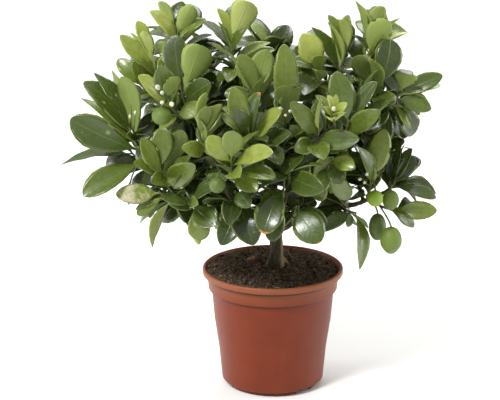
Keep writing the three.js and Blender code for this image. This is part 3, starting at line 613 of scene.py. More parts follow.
class Look:
    """A material and the nodes that make it."""

    def __init__(self, name):
        self.material = bpy.data.materials.new(name)
        self.material.use_nodes = True
        self.tree = self.material.node_tree
        self.tree.nodes.clear()

    def node(self, kind, settings=None, inputs=None, output=0):
        """Adds a node with its settings and the values or links of its sockets."""
        made = self.tree.nodes.new(kind)
        for name, value in (settings or {}).items():
            if name == "stops":
                ramp = made.color_ramp.elements
                while len(ramp) < len(value):
                    ramp.new(0.5)
                for stop, (place, colour) in zip(ramp, value):
                    stop.position = place
                    stop.color = (*colour, 1)
            else:
                setattr(made, name, value)
        for key, value in (inputs or {}).items():
            if isinstance(value, Wire):
                self.tree.links.new(value.socket, made.inputs[key])
            elif isinstance(value, tuple) and len(value) == 3:
                socket = made.inputs[key]
                socket.default_value = (*value, 1) if socket.type == "RGBA" else value
            else:
                made.inputs[key].default_value = value
        return Wire(self, made.outputs[output])

    def place(self):
        return self.node("ShaderNodeTexCoord", output="Object")

    def value(self, name):
        return self.node("ShaderNodeAttribute", {"attribute_name": name}, output="Fac")

    def noise(self, scale, detail=2.0, rough=0.5, at=None, stretch=None):
        spot = at if at is not None else self.place()
        if stretch is not None:
            spot = self.node("ShaderNodeMapping", inputs={"Vector": spot, "Scale": stretch})
        return self.node("ShaderNodeTexNoise", inputs={
            "Vector": spot, "Scale": scale, "Detail": detail, "Roughness": rough})

    def cells(self, scale):
        return self.node("ShaderNodeTexVoronoi", {"feature": "F1"}, {
            "Vector": self.place(), "Scale": scale}, "Distance")

    def ramp(self, amount, stops):
        return self.node("ShaderNodeValToRGB", {"stops": stops}, {"Fac": amount})

    def mix(self, amount, low, high):
        settings = {"data_type": "RGBA", "blend_type": "MIX"}
        return self.node("ShaderNodeMix", settings, {0: amount, 6: low, 7: high}, output=2)

    def bump(self, height, depth):
        return self.node("ShaderNodeBump", inputs={
            "Strength": 1.0, "Distance": depth, "Height": height})

    def finish(self, colour, roughness, normal=None, specular=0.5, **constants):
        """Ends the look with its surface shader."""
        inputs = {"Base Color": colour, "Roughness": roughness, "Specular IOR Level": specular}
        if normal is not None:
            inputs["Normal"] = normal
        for name, value in constants.items():
            inputs[name.replace("_", " ").title()] = value
        shader = self.node("ShaderNodeBsdfPrincipled", inputs=inputs)
        out = self.tree.nodes.new("ShaderNodeOutputMaterial")
        self.tree.links.new(shader.socket, out.inputs["Surface"])
        return self.material

    def band(self, height, middle, half):
        """One about a height, in millimetres, and nothing beyond half the band's width."""
        return (1.6 - abs(height / MM - middle) * (1.6 / half)).within()


def leaf_look():
    look = Look("leaf")
    flat = look.node("ShaderNodeUVMap", {"uv_map": "blade"})
    across_at = look.node("ShaderNodeSeparateXYZ", inputs={0: flat}, output=0)
    along = look.node("ShaderNodeSeparateXYZ", inputs={0: flat}, output=1)
    signed = across_at * 2 - 1
    across = abs(signed)
    upper, tone, tint = look.value("upper"), look.value("tone"), look.value("tint")
    woody, flaw = look.value("woody"), look.value("flaw")

    blade = ((along - 0.17) * 6).within()
    midrib = (1 - across / 0.055).within() * (1 - along * 0.55)
    phase = along * 9.0 - across * 1.9 + across_at.math("GREATER_THAN", 0.5) * 0.45
    stripe = abs(phase.math("FRACT") - 0.5) * 2
    vein = ((stripe - 0.82) / 0.18).within() * (1 - across * 0.75) * blade
    margin = ((across - 0.84) / 0.14).within() * blade
    mottle = look.noise(150, 3, 0.6)
    fine = look.noise(900, 2, 0.5)

    age = (tone + (tint - 0.5) * 0.55 + (mottle - 0.5) * 0.2).within()
    top = look.ramp(age, [(0.0, (0.024, 0.040, 0.006)), (0.35, (0.066, 0.104, 0.013)),
                          (0.65, (0.175, 0.230, 0.028)), (1.0, (0.45, 0.50, 0.10))])
    under = look.ramp(age, [(0.0, (0.135, 0.185, 0.040)), (0.5, (0.26, 0.345, 0.075)),
                            (1.0, (0.46, 0.52, 0.15))])
    top = look.mix(midrib * 0.4, top, (0.24, 0.30, 0.07))
    top = look.mix(vein * 0.14, top, (0.17, 0.23, 0.05))
    under = look.mix((midrib + vein * 0.5).within() * 0.45, under, (0.42, 0.46, 0.13))
    colour = look.mix(upper, under, top)
    colour = look.mix(margin * 0.6, colour, (0.36, 0.43, 0.10))
    dried = look.ramp(fine, [(0.35, (0.30, 0.24, 0.12)), (0.65, (0.55, 0.52, 0.34))])
    blotch = ((look.noise(75, 4, 0.65) - 0.5) * 7 + 0.3).within() * flaw
    colour = look.mix(blotch, colour, dried)
    burnt = ((along - 0.955 + (mottle - 0.5) * 0.12) * 40).within() * look.value("scorch")
    colour = look.mix(burnt, colour, (0.62, 0.22, 0.03))
    stem = look.ramp(look.noise(260, 3, 0.6), [(0.3, (0.07, 0.085, 0.02)),
                                               (0.7, (0.17, 0.19, 0.045))])
    colour = look.mix(woody, colour, stem)
    shine = 0.2 + mottle * 0.16 + (1 - upper) * 0.34 + woody * 0.25 + blotch * 0.3
    height = (0.5 - midrib * 0.5 - vein * 0.1) * upper + (midrib + vein * 0.5) * (1 - upper)
    height = height + mottle * 0.5 + fine * 0.12
    return look.finish(colour, shine.within(), look.bump(height, 0.0005), specular=0.6,
                       coat_weight=upper * 0.16, coat_roughness=0.14)


def bark_look():
    look = Look("bark")
    spot = look.place()
    ridges = look.noise(240, 4, 0.65, spot, (1.0, 1.0, 0.22))
    patches = look.noise(60, 3, 0.6, spot)
    colour = look.ramp(ridges, [(0.3, (0.018, 0.014, 0.008)), (0.52, (0.060, 0.050, 0.026)),
                                (0.75, (0.15, 0.125, 0.07))])
    colour = look.mix(((patches - 0.5) * 5).within() * 0.6, colour, (0.075, 0.095, 0.035))
    across = look.node("ShaderNodeSeparateXYZ", inputs={0: spot}, output=0)
    upward = look.node("ShaderNodeSeparateXYZ", inputs={0: spot}, output=2)
    # A pale tan strip down the trunk's right edge, low down: painted light, the edge shown as if
    # lit from the right.
    low = ((0.2 - upward) * 60).within()
    painted_edge_light = ((across - 0.0085) * 500 + (patches - 0.5) * 2).within() * low
    colour = look.mix(painted_edge_light * 0.7, colour, (0.36, 0.26, 0.14))
    height = ridges + patches * 0.5
    return look.finish(colour, 0.62 + patches * 0.3, look.bump(height, 0.0016), specular=0.3)


def pot_look():
    look = Look("pot_plastic")
    spot = look.place()
    height_at = look.node("ShaderNodeSeparateXYZ", inputs={0: spot}, output=2)
    cloud = look.noise(28, 3, 0.55, spot)
    streaks = look.noise(70, 3, 0.5, spot, (1.0, 1.0, 0.04))
    grain = look.noise(2200, 2, 0.5, spot)
    colour = look.ramp((cloud * 0.6 + streaks * 0.4), [
        (0.3, (0.150, 0.020, 0.003)), (0.7, (0.190, 0.029, 0.005))])
    # Paler and more orange towards the rim: painted light, the rim shown as if lit from above. The
    # same zone also holds the soil smudge.
    near_rim = ((height_at - 0.118) / 0.03).within()
    colour = look.mix(near_rim * 0.45, colour, (0.38, 0.14, 0.06))
    # Dark bands just under the collar's edge and just under the lip: painted shade, the shadow
    # lines that these overhangs cast.
    collar_edge = POT_HEIGHT - LIP_HEIGHT - COLLAR_HEIGHT
    painted_shade_under_lip_and_collar = (look.band(height_at, collar_edge - 1.6, 1.1)
               + look.band(height_at, POT_HEIGHT - LIP_HEIGHT - 2.2, 1.8)).within()
    colour = look.mix(painted_shade_under_lip_and_collar * 0.8, colour, (0.035, 0.010, 0.004))
    smudge = ((look.noise(95, 4, 0.7, spot) - 0.62) * 9).within() * near_rim
    colour = look.mix(smudge * 0.6, colour, (0.07, 0.03, 0.015))
    scuff = ((look.noise(60, 5, 0.75, spot, (1.0, 1.0, 6.0)) - 0.66) * 12).within()
    colour = look.mix(scuff * 0.25, colour, (0.42, 0.17, 0.09))
    rough = 0.34 + cloud * 0.14 + smudge * 0.3 + scuff * 0.15
    return look.finish(colour, rough.within(), look.bump(grain + scuff * 2, 0.00012),
                       specular=0.3)


def soil_look(name, dark, painted_edge_light):
    look = Look(name)
    tint = look.value("tint")
    lumps = look.noise(420, 4, 0.7)
    colour = look.ramp((lumps * 0.6 + tint * 0.4), [(0.3, dark), (0.72, painted_edge_light)])
    specks = ((look.cells(900) - 0.62) * 8).within()
    colour = look.mix(specks * 0.3, colour, (0.16, 0.11, 0.06))
    return look.finish(colour, 0.9, look.bump(lumps, 0.0015), specular=0.2)


def fruit_look():
    look = Look("fruit_skin")
    ripe, woody = look.value("tone"), look.value("woody")
    cloud = look.noise(70, 3, 0.55)
    pores = (1 - look.cells(620) * 1.7).within()
    age = (ripe + (cloud - 0.5) * 0.3).within()
    colour = look.ramp(age, [(0.0, (0.065, 0.100, 0.017)), (0.5, (0.17, 0.25, 0.020)),
                             (1.0, (0.30, 0.46, 0.028))])
    colour = look.mix(pores * 0.35, colour, (0.04, 0.08, 0.01))
    colour = look.mix(woody, colour, look.ramp(cloud, [(0.3, (0.06, 0.09, 0.02)),
                                                       (0.7, (0.15, 0.2, 0.05))]))
    rough = 0.36 + cloud * 0.12 + woody * 0.3
    return look.finish(colour, rough.within(), look.bump(1 - pores, 0.00035), specular=0.5)


def bud_look():
    look = Look("bud")
    woody = look.value("woody")
    cloud = look.noise(500, 2, 0.5)
    colour = look.ramp(cloud, [(0.3, (0.50, 0.50, 0.30)), (0.7, (0.76, 0.75, 0.60))])
    colour = look.mix(woody, colour, (0.13, 0.22, 0.04))
    return look.finish(colour, 0.45 + cloud * 0.15, look.bump(cloud, 0.0002), specular=0.4)


# ---- Forms that are modelled once -----------------------------------------------------------

def only(piece):
    """Makes a piece the one that is selected."""
    bpy.ops.object.select_all(action="DESELECT")
    piece.select_set(True)
    bpy.context.view_layer.objects.active = piece


def drawn_out(name, stations, sides):
    """A closed form along +Y. An end ring is drawn out from station to station, and each time
    resized: a station is its place along, its half width and its half thickness."""
    bpy.ops.object.select_all(action="DESELECT")
    bpy.ops.mesh.primitive_circle_add(vertices=sides, radius=1, fill_type="NGON",
                                      rotation=(math.pi / 2, 0, 0))
    bpy.ops.object.transform_apply(location=False, rotation=True, scale=True)
    piece = bpy.context.object
    piece.name = name
    bpy.ops.object.mode_set(mode="EDIT")
    bpy.ops.mesh.select_all(action="SELECT")
    at, wide, thick = 0.0, 1.0, 1.0
    for order, (place, new_wide, new_thick) in enumerate(stations):
        step = {"value": (0, place - at, 0)}
        if order == 0:
            bpy.ops.transform.translate(**step)
        else:
            bpy.ops.mesh.extrude_region_move(TRANSFORM_OT_translate=step)
        bpy.ops.transform.resize(value=(new_wide / wide, 1, new_thick / thick),
                                 center_override=(0, place, 0))
        at, wide, thick = place, new_wide, new_thick
    bpy.ops.mesh.select_all(action="SELECT")
    bpy.ops.mesh.normals_make_consistent(inside=False)
    bpy.ops.object.mode_set(mode="OBJECT")
    return piece


class Form:
    """A finished shape to copy: its points, its faces and its map of across and along."""

    def __init__(self, piece, stations=None):
        mesh = piece.data
        self.points = np.empty(len(mesh.vertices) * 3)
        mesh.vertices.foreach_get("co", self.points)
        self.points = self.points.reshape(-1, 3)
        self.faces = [list(face.vertices) for face in mesh.polygons]
        self.upper = np.array([1.0 if face.center.z > 0 else 0.0 for face in mesh.polygons])
        self.map = np.zeros((sum(len(face) for face in self.faces), 2))
        if stations is not None:
            places = [station[0] for station in stations]
            wide = np.interp(self.points[:, 1], places, [station[1] for station in stations])
            corners = np.array([corner for face in self.faces for corner in face])
            self.map[:, 0] = 0.5 + 0.5 * self.points[corners, 0] / wide[corners]
            self.map[:, 1] = self.points[corners, 1]
        bpy.data.objects.remove(piece, do_unlink=True)


def blade_form(name, outline):
    """A leaf of unit length: a short round petiole drawn out flat into the blade. The outline
    gives its half width along the blade, as a share of the widest."""
    stations = [(0.0, 0.075, 0.85), (0.085, 0.06, 0.7)]
    thickness = (0.5, 0.32, 0.3, 0.28, 0.26, 0.22, 0.2, 0.16, 0.1)
    for (along, half), thick in zip(outline, thickness):
        stations.append((along, half, thick))
    return Form(drawn_out(name, stations, 8), stations)


def leaf_forms():
    elliptic = [(0.15, 0.24), (0.25, 0.64), (0.39, 0.92), (0.54, 1.0), (0.70, 0.94),
                (0.84, 0.73), (0.94, 0.44), (0.985, 0.21), (1.0, 0.06)]
    obovate = [(0.15, 0.18), (0.27, 0.50), (0.42, 0.80), (0.58, 0.98), (0.73, 1.0),
               (0.86, 0.81), (0.95, 0.50), (0.988, 0.24), (1.0, 0.07)]
    lance = [(0.13, 0.24), (0.23, 0.64), (0.36, 0.93), (0.50, 1.0), (0.65, 0.88),
             (0.79, 0.62), (0.91, 0.32), (0.975, 0.13), (1.0, 0.04)]
    return [blade_form("elliptic_leaf", elliptic), blade_form("obovate_leaf", obovate),
            blade_form("lance_leaf", lance)]


ROD_STEPS = 10


def rod_form(sides):
    stations = [(step / ROD_STEPS, 1.0, 1.0) for step in range(ROD_STEPS + 1)]
    return Form(drawn_out("rod", stations, sides), stations)


def along_curve(form, curve, start_radius, end_radius, swell=0.0):
    """A rod form bent along a curve, in metres."""
    shares = np.clip(form.points[:, 1], 0, 1)
    steps = np.round(shares * ROD_STEPS).astype(int)
    spots = np.array([curve(step / ROD_STEPS) for step in range(ROD_STEPS + 1)])
    ways = np.gradient(spots, axis=0)
    normal = square_to(unit(ways[0]), np.array([0.31, -0.83, 0.47]))
    frames = []
    for way in ways:
        way = unit(way)
        normal = square_to(way, normal)
        frames.append((normal, np.cross(way, normal)))
    normals = np.array([pair[0] for pair in frames])
    seconds = np.array([pair[1] for pair in frames])
    radius = start_radius + (end_radius - start_radius) * shares
    radius = radius * (1 + swell * np.sin(steps * 2.3) * 0.5)
    return (spots[steps] + normals[steps] * (form.points[:, 0] * radius)[:, None]
            + seconds[steps] * (form.points[:, 2] * radius)[:, None]) * MM


def gathered(name, copies, look):
    """One piece from many copies of forms: each copy is a form, its points in metres and its
    values for the look."""
    points, faces, maps, upper = [], [], [], []
    values = {key: [] for key in ("tone", "tint", "woody", "flaw", "scorch")}
    count = 0
    for form, placed, given in copies:
        points.append(placed)
        faces += [[corner + count for corner in face] for face in form.faces]
        maps.append(form.map)
        upper.append(form.upper)
        for key, held in values.items():
            held.append(np.full(len(placed), given.get(key, 0.0)))
        count += len(placed)
    mesh = bpy.data.meshes.new(name)
    mesh.from_pydata(np.concatenate(points).tolist(), [], faces)
    mesh.uv_layers.new(name="blade").uv.foreach_set("vector", np.concatenate(maps).ravel())
    layer = mesh.attributes.new("upper", "FLOAT", "FACE")
    layer.data.foreach_set("value", np.concatenate(upper))
    for key, held in values.items():
        mesh.attributes.new(key, "FLOAT", "POINT").data.foreach_set("value", np.concatenate(held))
    mesh.polygons.foreach_set("use_smooth", [True] * len(faces))
    mesh.materials.append(look)
    piece = bpy.data.objects.new(name, mesh)
    bpy.context.collection.objects.link(piece)
    return piece


def settle(piece, slot, *nodes):
    """A finished piece stands on the plant's one body and takes the place of its plain solids."""
    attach(piece, "root")
    if nodes:
        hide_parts(*nodes)


# ---- Leafy shoots ---------------------------------------------------------------------------

def leaf_copy(leaf, forms, picks, shoot, marks):
    """A leaf form bent to its place, with its own fold, curl and waves."""
    form = forms[2] if leaf.slim < 0.24 else forms[picks.randrange(2)]
    x, y, z = form.points.T
    half = leaf.width / 2
    reach = x * half
    young = shoot.tone
    fold = picks.uniform(0.05, 0.3) + 0.15 * young
    cup = picks.uniform(-0.22, 0.2)
    wave = picks.uniform(0.02, 0.1)
    waves = picks.uniform(1.2, 2.6)
    phase = picks.uniform(0, 2 * math.pi)
    twist = picks.uniform(-0.35, 0.35)
    sway = picks.uniform(-0.05, 0.05)
    curl = picks.uniform(-0.16, 0.04)
    arch = LEAF_ARCH * picks.uniform(0.5, 1.5)
    side_sign = np.sign(x)
    lift = z + fold * np.abs(reach) + cup * reach ** 2 / half
    lift += wave * half * x ** 2 * np.sin(2 * math.pi * waves * y + phase + side_sign * 0.7)
    turn = twist * (y - 0.35)
    across = reach * np.cos(turn) - lift * np.sin(turn)
    above = reach * np.sin(turn) + lift * np.cos(turn)
    across += sway * leaf.length * 4 * y * (1 - y)
    above += 4 * arch * leaf.length * y * (1 - y)
    above += curl * leaf.length * np.maximum(0, y - 0.6) ** 2
    spots = (leaf.base + (y * leaf.length)[:, None] * leaf.along + across[:, None] * leaf.side
             + above[:, None] * leaf.face)
    share = {"placed": 1.0, "filling": 0.7, "inner": 0.5}[leaf.kind]
    return form, spots * MM, {"tone": young * share, "tint": picks.random(), **marks}


# Leaves with marks of their own: dried patches, a scorched tip, or a tone unlike the shoot's.
LEAF_MARKS = {
    ("left_under", 3): {"flaw": 1.0},
    ("left_under", 0): {"flaw": 0.5},
    ("low_left", 0): {"tone": 1.0, "flaw": 0.6},
    ("low_middle", 1): {"scorch": 0.8},
    ("low_middle_right", 1): {"scorch": 0.6},
    ("front_centre", 1): {"scorch": 1.0},
    ("crown_middle", 5): {"tone": 0.95},
}


def shoot_pieces(look):
    """Each leafy shoot: its twig and all its leaves in one piece."""
    forms = leaf_forms()
    rod = rod_form(6)
    for index, (shoot, leaves) in enumerate(zip(SHOOTS, grown_leaves())):
        picks = random.Random(index * 101 + 5)
        twig = twig_points(shoot)
        copies = [(rod, along_curve(rod, lambda share: bow_point(twig, share), TWIG_RADIUS, 1.1,
                                   0.25),
                   {"woody": 1.0})]
        for order, leaf in enumerate(leaves):
            marks = LEAF_MARKS.get((shoot.name, order), {})
            copies.append(leaf_copy(leaf, forms, picks, shoot, marks))
        piece = gathered("leaves_" + shoot.name, copies, look)
        settle(piece, "leaf", "shoot_" + shoot.name)


# ---- Wood -----------------------------------------------------------------------------------

def wood_rods():
    """The rods of the wood: the trunk with its scar and its root, the limbs, the branchlets."""
    rod = rod_form(10)
    foot = SOIL_TOP - TRUNK_BURIED
    trunk = [[*TRUNK_PLACE, foot], [*TRUNK_PLACE, SOIL_TOP - 4], [4.5, 0, SOIL_TOP + 8],
             [4, 0, SOIL_TOP + 30], [3, 0, SOIL_TOP + 56]]
    copies = [(rod, along_curve(rod, lambda share: limb_point(trunk, share),
                                TRUNK_RADIUS + TRUNK_FLARE, TRUNK_RADIUS - TRUNK_TAPER), {})]
    scar = [[-4, -4, SOIL_TOP - 4], [-3.5, -5, SOIL_TOP + 6], [0, -4, SOIL_TOP + 17]]
    root = [[8, 5, SOIL_TOP + 10], [15, 8, SOIL_TOP], [22, 12, SOIL_TOP - 8]]
    copies.append((rod, along_curve(rod, lambda share: bow_point(np.array(scar, float), share),
                                    6.5, 3.5, 0.1), {}))
    copies.append((rod, along_curve(rod, lambda share: bow_point(np.array(root, float), share),
                                    4, 3, 0.2), {}))
    for points, start, end in LIMBS:
        copies.append((rod, along_curve(rod, lambda share: limb_point(points, share), start,
                                        end, 0.15), {}))
    for shoot in SHOOTS:
        root, base = branchlet_roots()[shoot.name], np.array(shoot.base, float)
        copies.append((rod, along_curve(rod, lambda share: root + share * (base - root),
                                        BRANCHLET_RADIUS, TWIG_RADIUS, 0.2), {}))
    return copies


def wood_piece(look):
    """The trunk with its limbs and branchlets, grown together, with bark."""
    wood = gathered("trunk_and_limbs", wood_rods(), look)
    only(wood)
    wood.data.remesh_voxel_size = BARK_GRAIN * MM
    wood.data.use_remesh_preserve_attributes = False
    bpy.ops.object.voxel_remesh()
    smooth = wood.modifiers.new("even", "SMOOTH")
    smooth.factor = 0.5
    smooth.iterations = 4
    knots = bpy.data.textures.new("knots", "CLOUDS")
    knots.noise_scale = 0.006
    knots.noise_depth = 3
    bumps = wood.modifiers.new("bark", "DISPLACE")
    bumps.texture = knots
    bumps.texture_coords = "LOCAL"
    bumps.strength = 0.0016
    for modifier in list(wood.modifiers):
        bpy.ops.object.modifier_apply(modifier=modifier.name)
    bpy.ops.object.shade_smooth()
    settle(wood, "bark", "trunk")


# ---- Pot ------------------------------------------------------------------------------------

def arc(centre_r, centre_z, radius, start, end, steps):
    """Points of a round corner of a profile, from one angle in degrees to another."""
    found = []
    for step in range(steps + 1):
        angle = math.radians(start + (end - start) * step / steps)
        found.append((centre_r + radius * math.cos(angle), centre_z + radius * math.sin(angle)))
    return found


def spun(name, profile, steps):
    """A piece turned about the upright axis from its half profile, in millimetres."""
    mesh = bpy.data.meshes.new(name)
    points = [(r * MM, 0, z * MM) for r, z in profile]
    mesh.from_pydata(points, [(i, i + 1) for i in range(len(points) - 1)], [])
    piece = bpy.data.objects.new(name, mesh)
    bpy.context.collection.objects.link(piece)
    only(piece)
    bpy.ops.object.mode_set(mode="EDIT")
    bpy.ops.mesh.select_all(action="SELECT")
    bpy.ops.mesh.spin(steps=steps, angle=2 * math.pi, center=(0, 0, 0), axis=(0, 0, 1))
    bpy.ops.mesh.select_all(action="SELECT")
    bpy.ops.mesh.remove_doubles(threshold=1e-6)
    bpy.ops.mesh.normals_make_consistent(inside=False)
    bpy.ops.object.mode_set(mode="OBJECT")
    return piece


def cut_with(piece, cutters):
    """Takes the cutters out of a piece."""
    for cutter in cutters:
        taken = piece.modifiers.new("cut", "BOOLEAN")
        taken.operation = "DIFFERENCE"
        taken.object = cutter
        only(piece)
        bpy.ops.object.modifier_apply(modifier=taken.name)
        bpy.data.objects.remove(cutter, do_unlink=True)


def pot_profile():
    """Half the pot's section: up the outside from the middle of the pad, and down the inside."""
    lip_bottom = POT_HEIGHT - LIP_HEIGHT
    collar_bottom = lip_bottom - COLLAR_HEIGHT
    collar_top_r = RIM_RADIUS - LIP_REACH
    collar_bottom_r = collar_top_r - COLLAR_TAPER
    body_top_r = collar_bottom_r - COLLAR_STEP
    corner = FOOT_HEIGHT + 4
    inner_ring = FOOT_RING - FOOT_RING_WIDTH
    profile = [(0, 0), (PAD_RADIUS - 1, 0), (PAD_RADIUS, 1), (PAD_RADIUS, FOOT_HEIGHT),
               (inner_ring, FOOT_HEIGHT), (inner_ring, 0.6), (inner_ring + 0.6, 0),
               (FOOT_RING - 0.6, 0), (FOOT_RING, 0.6), (FOOT_RING, FOOT_HEIGHT)]
    profile += arc(FOOT_RADIUS - 4.2, FOOT_HEIGHT + 4.2, 4.2, -90, -4, 6)
    profile += [(FOOT_RADIUS + 3.6, corner + 38), (body_top_r - 3.6, collar_bottom - 38)]
    profile += [(body_top_r - 0.3, collar_bottom - 1.4), (body_top_r - 0.3, collar_bottom + 0.5),
                (collar_bottom_r - 1.4, collar_bottom + 0.5)]
    profile += arc(collar_bottom_r - 0.9, collar_bottom + 0.9, 0.9, -90, 0, 3)
    profile += [(collar_top_r - 0.2, lip_bottom - 2), (collar_top_r - 0.2, lip_bottom + 1),
                (collar_top_r + 2.2, lip_bottom + 1)]
    profile += arc(RIM_RADIUS - 1.6, lip_bottom + 1.6, 1.6, -100, -10, 4)
    profile += arc(RIM_RADIUS - 2.1, POT_HEIGHT - 2.1, 2.1, 2, 90, 6)
    profile += arc(RIM_RADIUS - 2.6, POT_HEIGHT - 0.8, 0.8, 90, 170, 4)
    profile += [(collar_top_r - POT_WALL, lip_bottom - 1),
                (collar_bottom_r - POT_WALL, collar_bottom + 2.4),
                (body_top_r - POT_WALL, collar_bottom + 0.6), (FOOT_RADIUS - POT_WALL, corner + 1),
                (FOOT_RADIUS - POT_WALL - 2, FOOT_HEIGHT + 2), (0, FOOT_HEIGHT + 2)]
    return profile


def drain_cutters():
    """What is cut out of the pot's foot: the notches of its ring, and a hole behind each."""
    cutters = []
    ring = (FOOT_RING - FOOT_RING_WIDTH / 2) * MM
    for drain in range(DRAINS):
        turn = (drain + DRAIN_TURN) * 2 * math.pi / DRAINS
        bpy.ops.object.select_all(action="DESELECT")
        bpy.ops.mesh.primitive_cube_add(
            size=1, location=(ring * math.cos(turn), ring * math.sin(turn), 0),
            rotation=(0, 0, turn), scale=(DRAIN_REACH * MM, DRAIN_WIDTH * MM, DRAIN_RISE * MM))
        cutters.append(bpy.context.object)
        bpy.ops.object.select_all(action="DESELECT")
        place = (HOLE_PLACE * MM * math.cos(turn), HOLE_PLACE * MM * math.sin(turn), 6 * MM)
        bpy.ops.mesh.primitive_cylinder_add(
            vertices=24, radius=HOLE_RADIUS * MM, depth=12 * MM, location=place)
        cutters.append(bpy.context.object)
    return cutters


def pot_piece(look):
    pot = spun("plastic_pot", pot_profile(), POT_STEPS)
    cut_with(pot, drain_cutters())
    only(pot)
    bpy.ops.object.shade_smooth_by_angle(angle=math.radians(32))
    pot.data.materials.append(look)
    settle(pot, "pot_plastic", "pot")


# ---- Soil -----------------------------------------------------------------------------------

def soil_height(x, y):
    """The soil's level at a place, in millimetres: it rises to the trunk, and to the back."""
    rise = SOIL_TOP - SOIL_EDGE
    mound = rise * 0.5 * (1 + math.cos(math.pi * min(1, math.hypot(x, y) / MOUND_RADIUS)))
    return SOIL_EDGE + mound + 0.7 * y / 78 - 1.6 * max(0, x) / 78


def soil_bed(look, wall):
    """The soil in one piece, with a cloddy top."""
    profile = [(0, 8), (56, 8), (60.5, 13), (70.5, 118), (wall - 3.4, SOIL_EDGE - 6)]
    profile += [(wall * (1 - ring / SOIL_RINGS), SOIL_EDGE) for ring in range(SOIL_RINGS + 1)]
    soil = spun("soil_bed", profile, SOIL_STEPS)
    for vertex in soil.data.vertices:
        if vertex.co.z > (SOIL_EDGE - 1) * MM:
            vertex.co.z = soil_height(vertex.co.x / MM, vertex.co.y / MM) * MM
    only(soil)
    clods = bpy.data.textures.new("clods", "CLOUDS")
    clods.noise_scale = 0.009
    clods.noise_depth = 4
    tops = soil.vertex_groups.new(name="tops")
    tops.add([v.index for v in soil.data.vertices if v.co.z > (SOIL_EDGE - 4) * MM
              and math.hypot(v.co.x, v.co.y) < (wall - 1) * MM], 1.0, "REPLACE")
    lumps = soil.modifiers.new("clods", "DISPLACE")
    lumps.texture = clods
    lumps.texture_coords = "LOCAL"
    lumps.direction = "Z"
    lumps.strength = 0.007
    lumps.mid_level = 0.55
    lumps.vertex_group = "tops"
    bpy.ops.object.modifier_apply(modifier=lumps.name)
    bpy.ops.object.shade_smooth()
    soil.data.attributes.new("tint", "FLOAT", "POINT").data.foreach_set(
        "value", [0.35] * len(soil.data.vertices))
    soil.data.materials.append(look)
    settle(soil, "potting_soil", "soil")


def soil_pieces(crumb_look, fibre_look, chip_look):
    wall = RIM_RADIUS - LIP_REACH + 0.1
    soil_bed(crumb_look, wall)
    picks = random.Random(31)
    lumps = [lump_form("clod", seed) for seed in (3, 8, 21)]
    crumbs = soil_crumbs(picks, lumps, wall)
    fibres = soil_fibres(picks, wall)
    chips = bark_chips(picks, lumps, wall)
    settle(gathered("soil_crumbs", crumbs, crumb_look), "potting_soil")
    settle(gathered("soil_fibres", fibres, fibre_look), "potting_soil")
    settle(gathered("bark_chips", chips, chip_look), "potting_soil")


def lump_form(name, seed):
    """A small uneven clod."""
    bpy.ops.object.select_all(action="DESELECT")
    bpy.ops.mesh.primitive_ico_sphere_add(subdivisions=1, radius=1)
    lump = bpy.context.object
    lump.name = name
    bpy.ops.object.mode_set(mode="EDIT")
    bpy.ops.mesh.select_all(action="SELECT")
    bpy.ops.transform.vertex_random(offset=0.28, seed=seed)
    bpy.ops.object.mode_set(mode="OBJECT")
    return Form(lump)


def turned_points(form, picks, size, flat):
    """A form turned any way and sized, about the origin."""
    spots = form.points * np.array(size)
    a, b, c = (picks.uniform(0, 2 * math.pi) for _ in range(3))
    b, c = b * flat, c * flat
    turn = (np.array([[math.cos(a), -math.sin(a), 0], [math.sin(a), math.cos(a), 0], [0, 0, 1]])
            @ np.array([[1, 0, 0], [0, math.cos(b), -math.sin(b)], [0, math.sin(b), math.cos(b)]])
            @ np.array([[math.cos(c), 0, math.sin(c)], [0, 1, 0], [-math.sin(c), 0, math.cos(c)]]))
    return spots @ turn.T


def soil_spot(picks, edge):
    """Some place on the soil, inside an edge."""
    radius = edge * math.sqrt(picks.random())
    angle = picks.uniform(0, 2 * math.pi)
    x, y = radius * math.cos(angle), radius * math.sin(angle)
    return np.array([x, y, soil_height(x, y)])


def soil_crumbs(picks, lumps, wall):
    crumbs = []
    for _ in range(CRUMBS):
        big = 0.5 + 1.9 * picks.random() ** 2
        size = [big * picks.uniform(0.7, 1.3) for _ in range(3)]
        place = soil_spot(picks, wall - 2) + np.array([0, 0, picks.uniform(-0.5, 1.2)])
        lump = picks.choice(lumps)
        points = turned_points(lump, picks, size, 1.0)
        crumbs.append((lump, (points + place) * MM, {"tint": picks.random()}))
    return crumbs


def soil_fibres(picks, wall):
    rod = rod_form(4)
    fibres = []
    for _ in range(FIBRES):
        place = soil_spot(picks, wall - 4) + np.array([0, 0, picks.uniform(0.6, 2.2)])
        length = picks.uniform(2.5, 10)
        heading = picks.uniform(0, 2 * math.pi)
        way = np.array([math.cos(heading), math.sin(heading), picks.uniform(-0.25, 0.35)])
        bend = np.array([picks.uniform(-1, 1), picks.uniform(-1, 1), picks.uniform(0, 0.8)])
        guides = (place, place + way * length * 0.5 + bend * length * 0.2, place + way * length)
        thick = picks.uniform(0.12, 0.42)
        fibres.append((rod, along_curve(rod, lambda share: bow_point(guides, share), thick,
                                        thick * 0.5), {"tint": picks.random()}))
    return fibres


def bark_chips(picks, lumps, wall):
    """Small chips, and one large one behind the trunk."""
    chips = []
    for _ in range(CHIPS):
        place = soil_spot(picks, wall - 8) + np.array([0, 0, picks.uniform(0.6, 1.6)])
        size = [picks.uniform(1.5, 4.2), picks.uniform(1.0, 2.2), picks.uniform(0.4, 0.9)]
        points = turned_points(lumps[1], picks, size, 0.12)
        chips.append((lumps[1], (points + place) * MM, {"tint": picks.random()}))
    points = turned_points(lumps[2], picks, [7.5, 5, 2.6], 0.03)
    chips.append((lumps[2], (points + np.array([-26, 24, soil_height(-26, 24) + 2])) * MM,
                  {"tint": 0.9}))
    return chips


# ---- Fruits and buds ------------------------------------------------------------------------

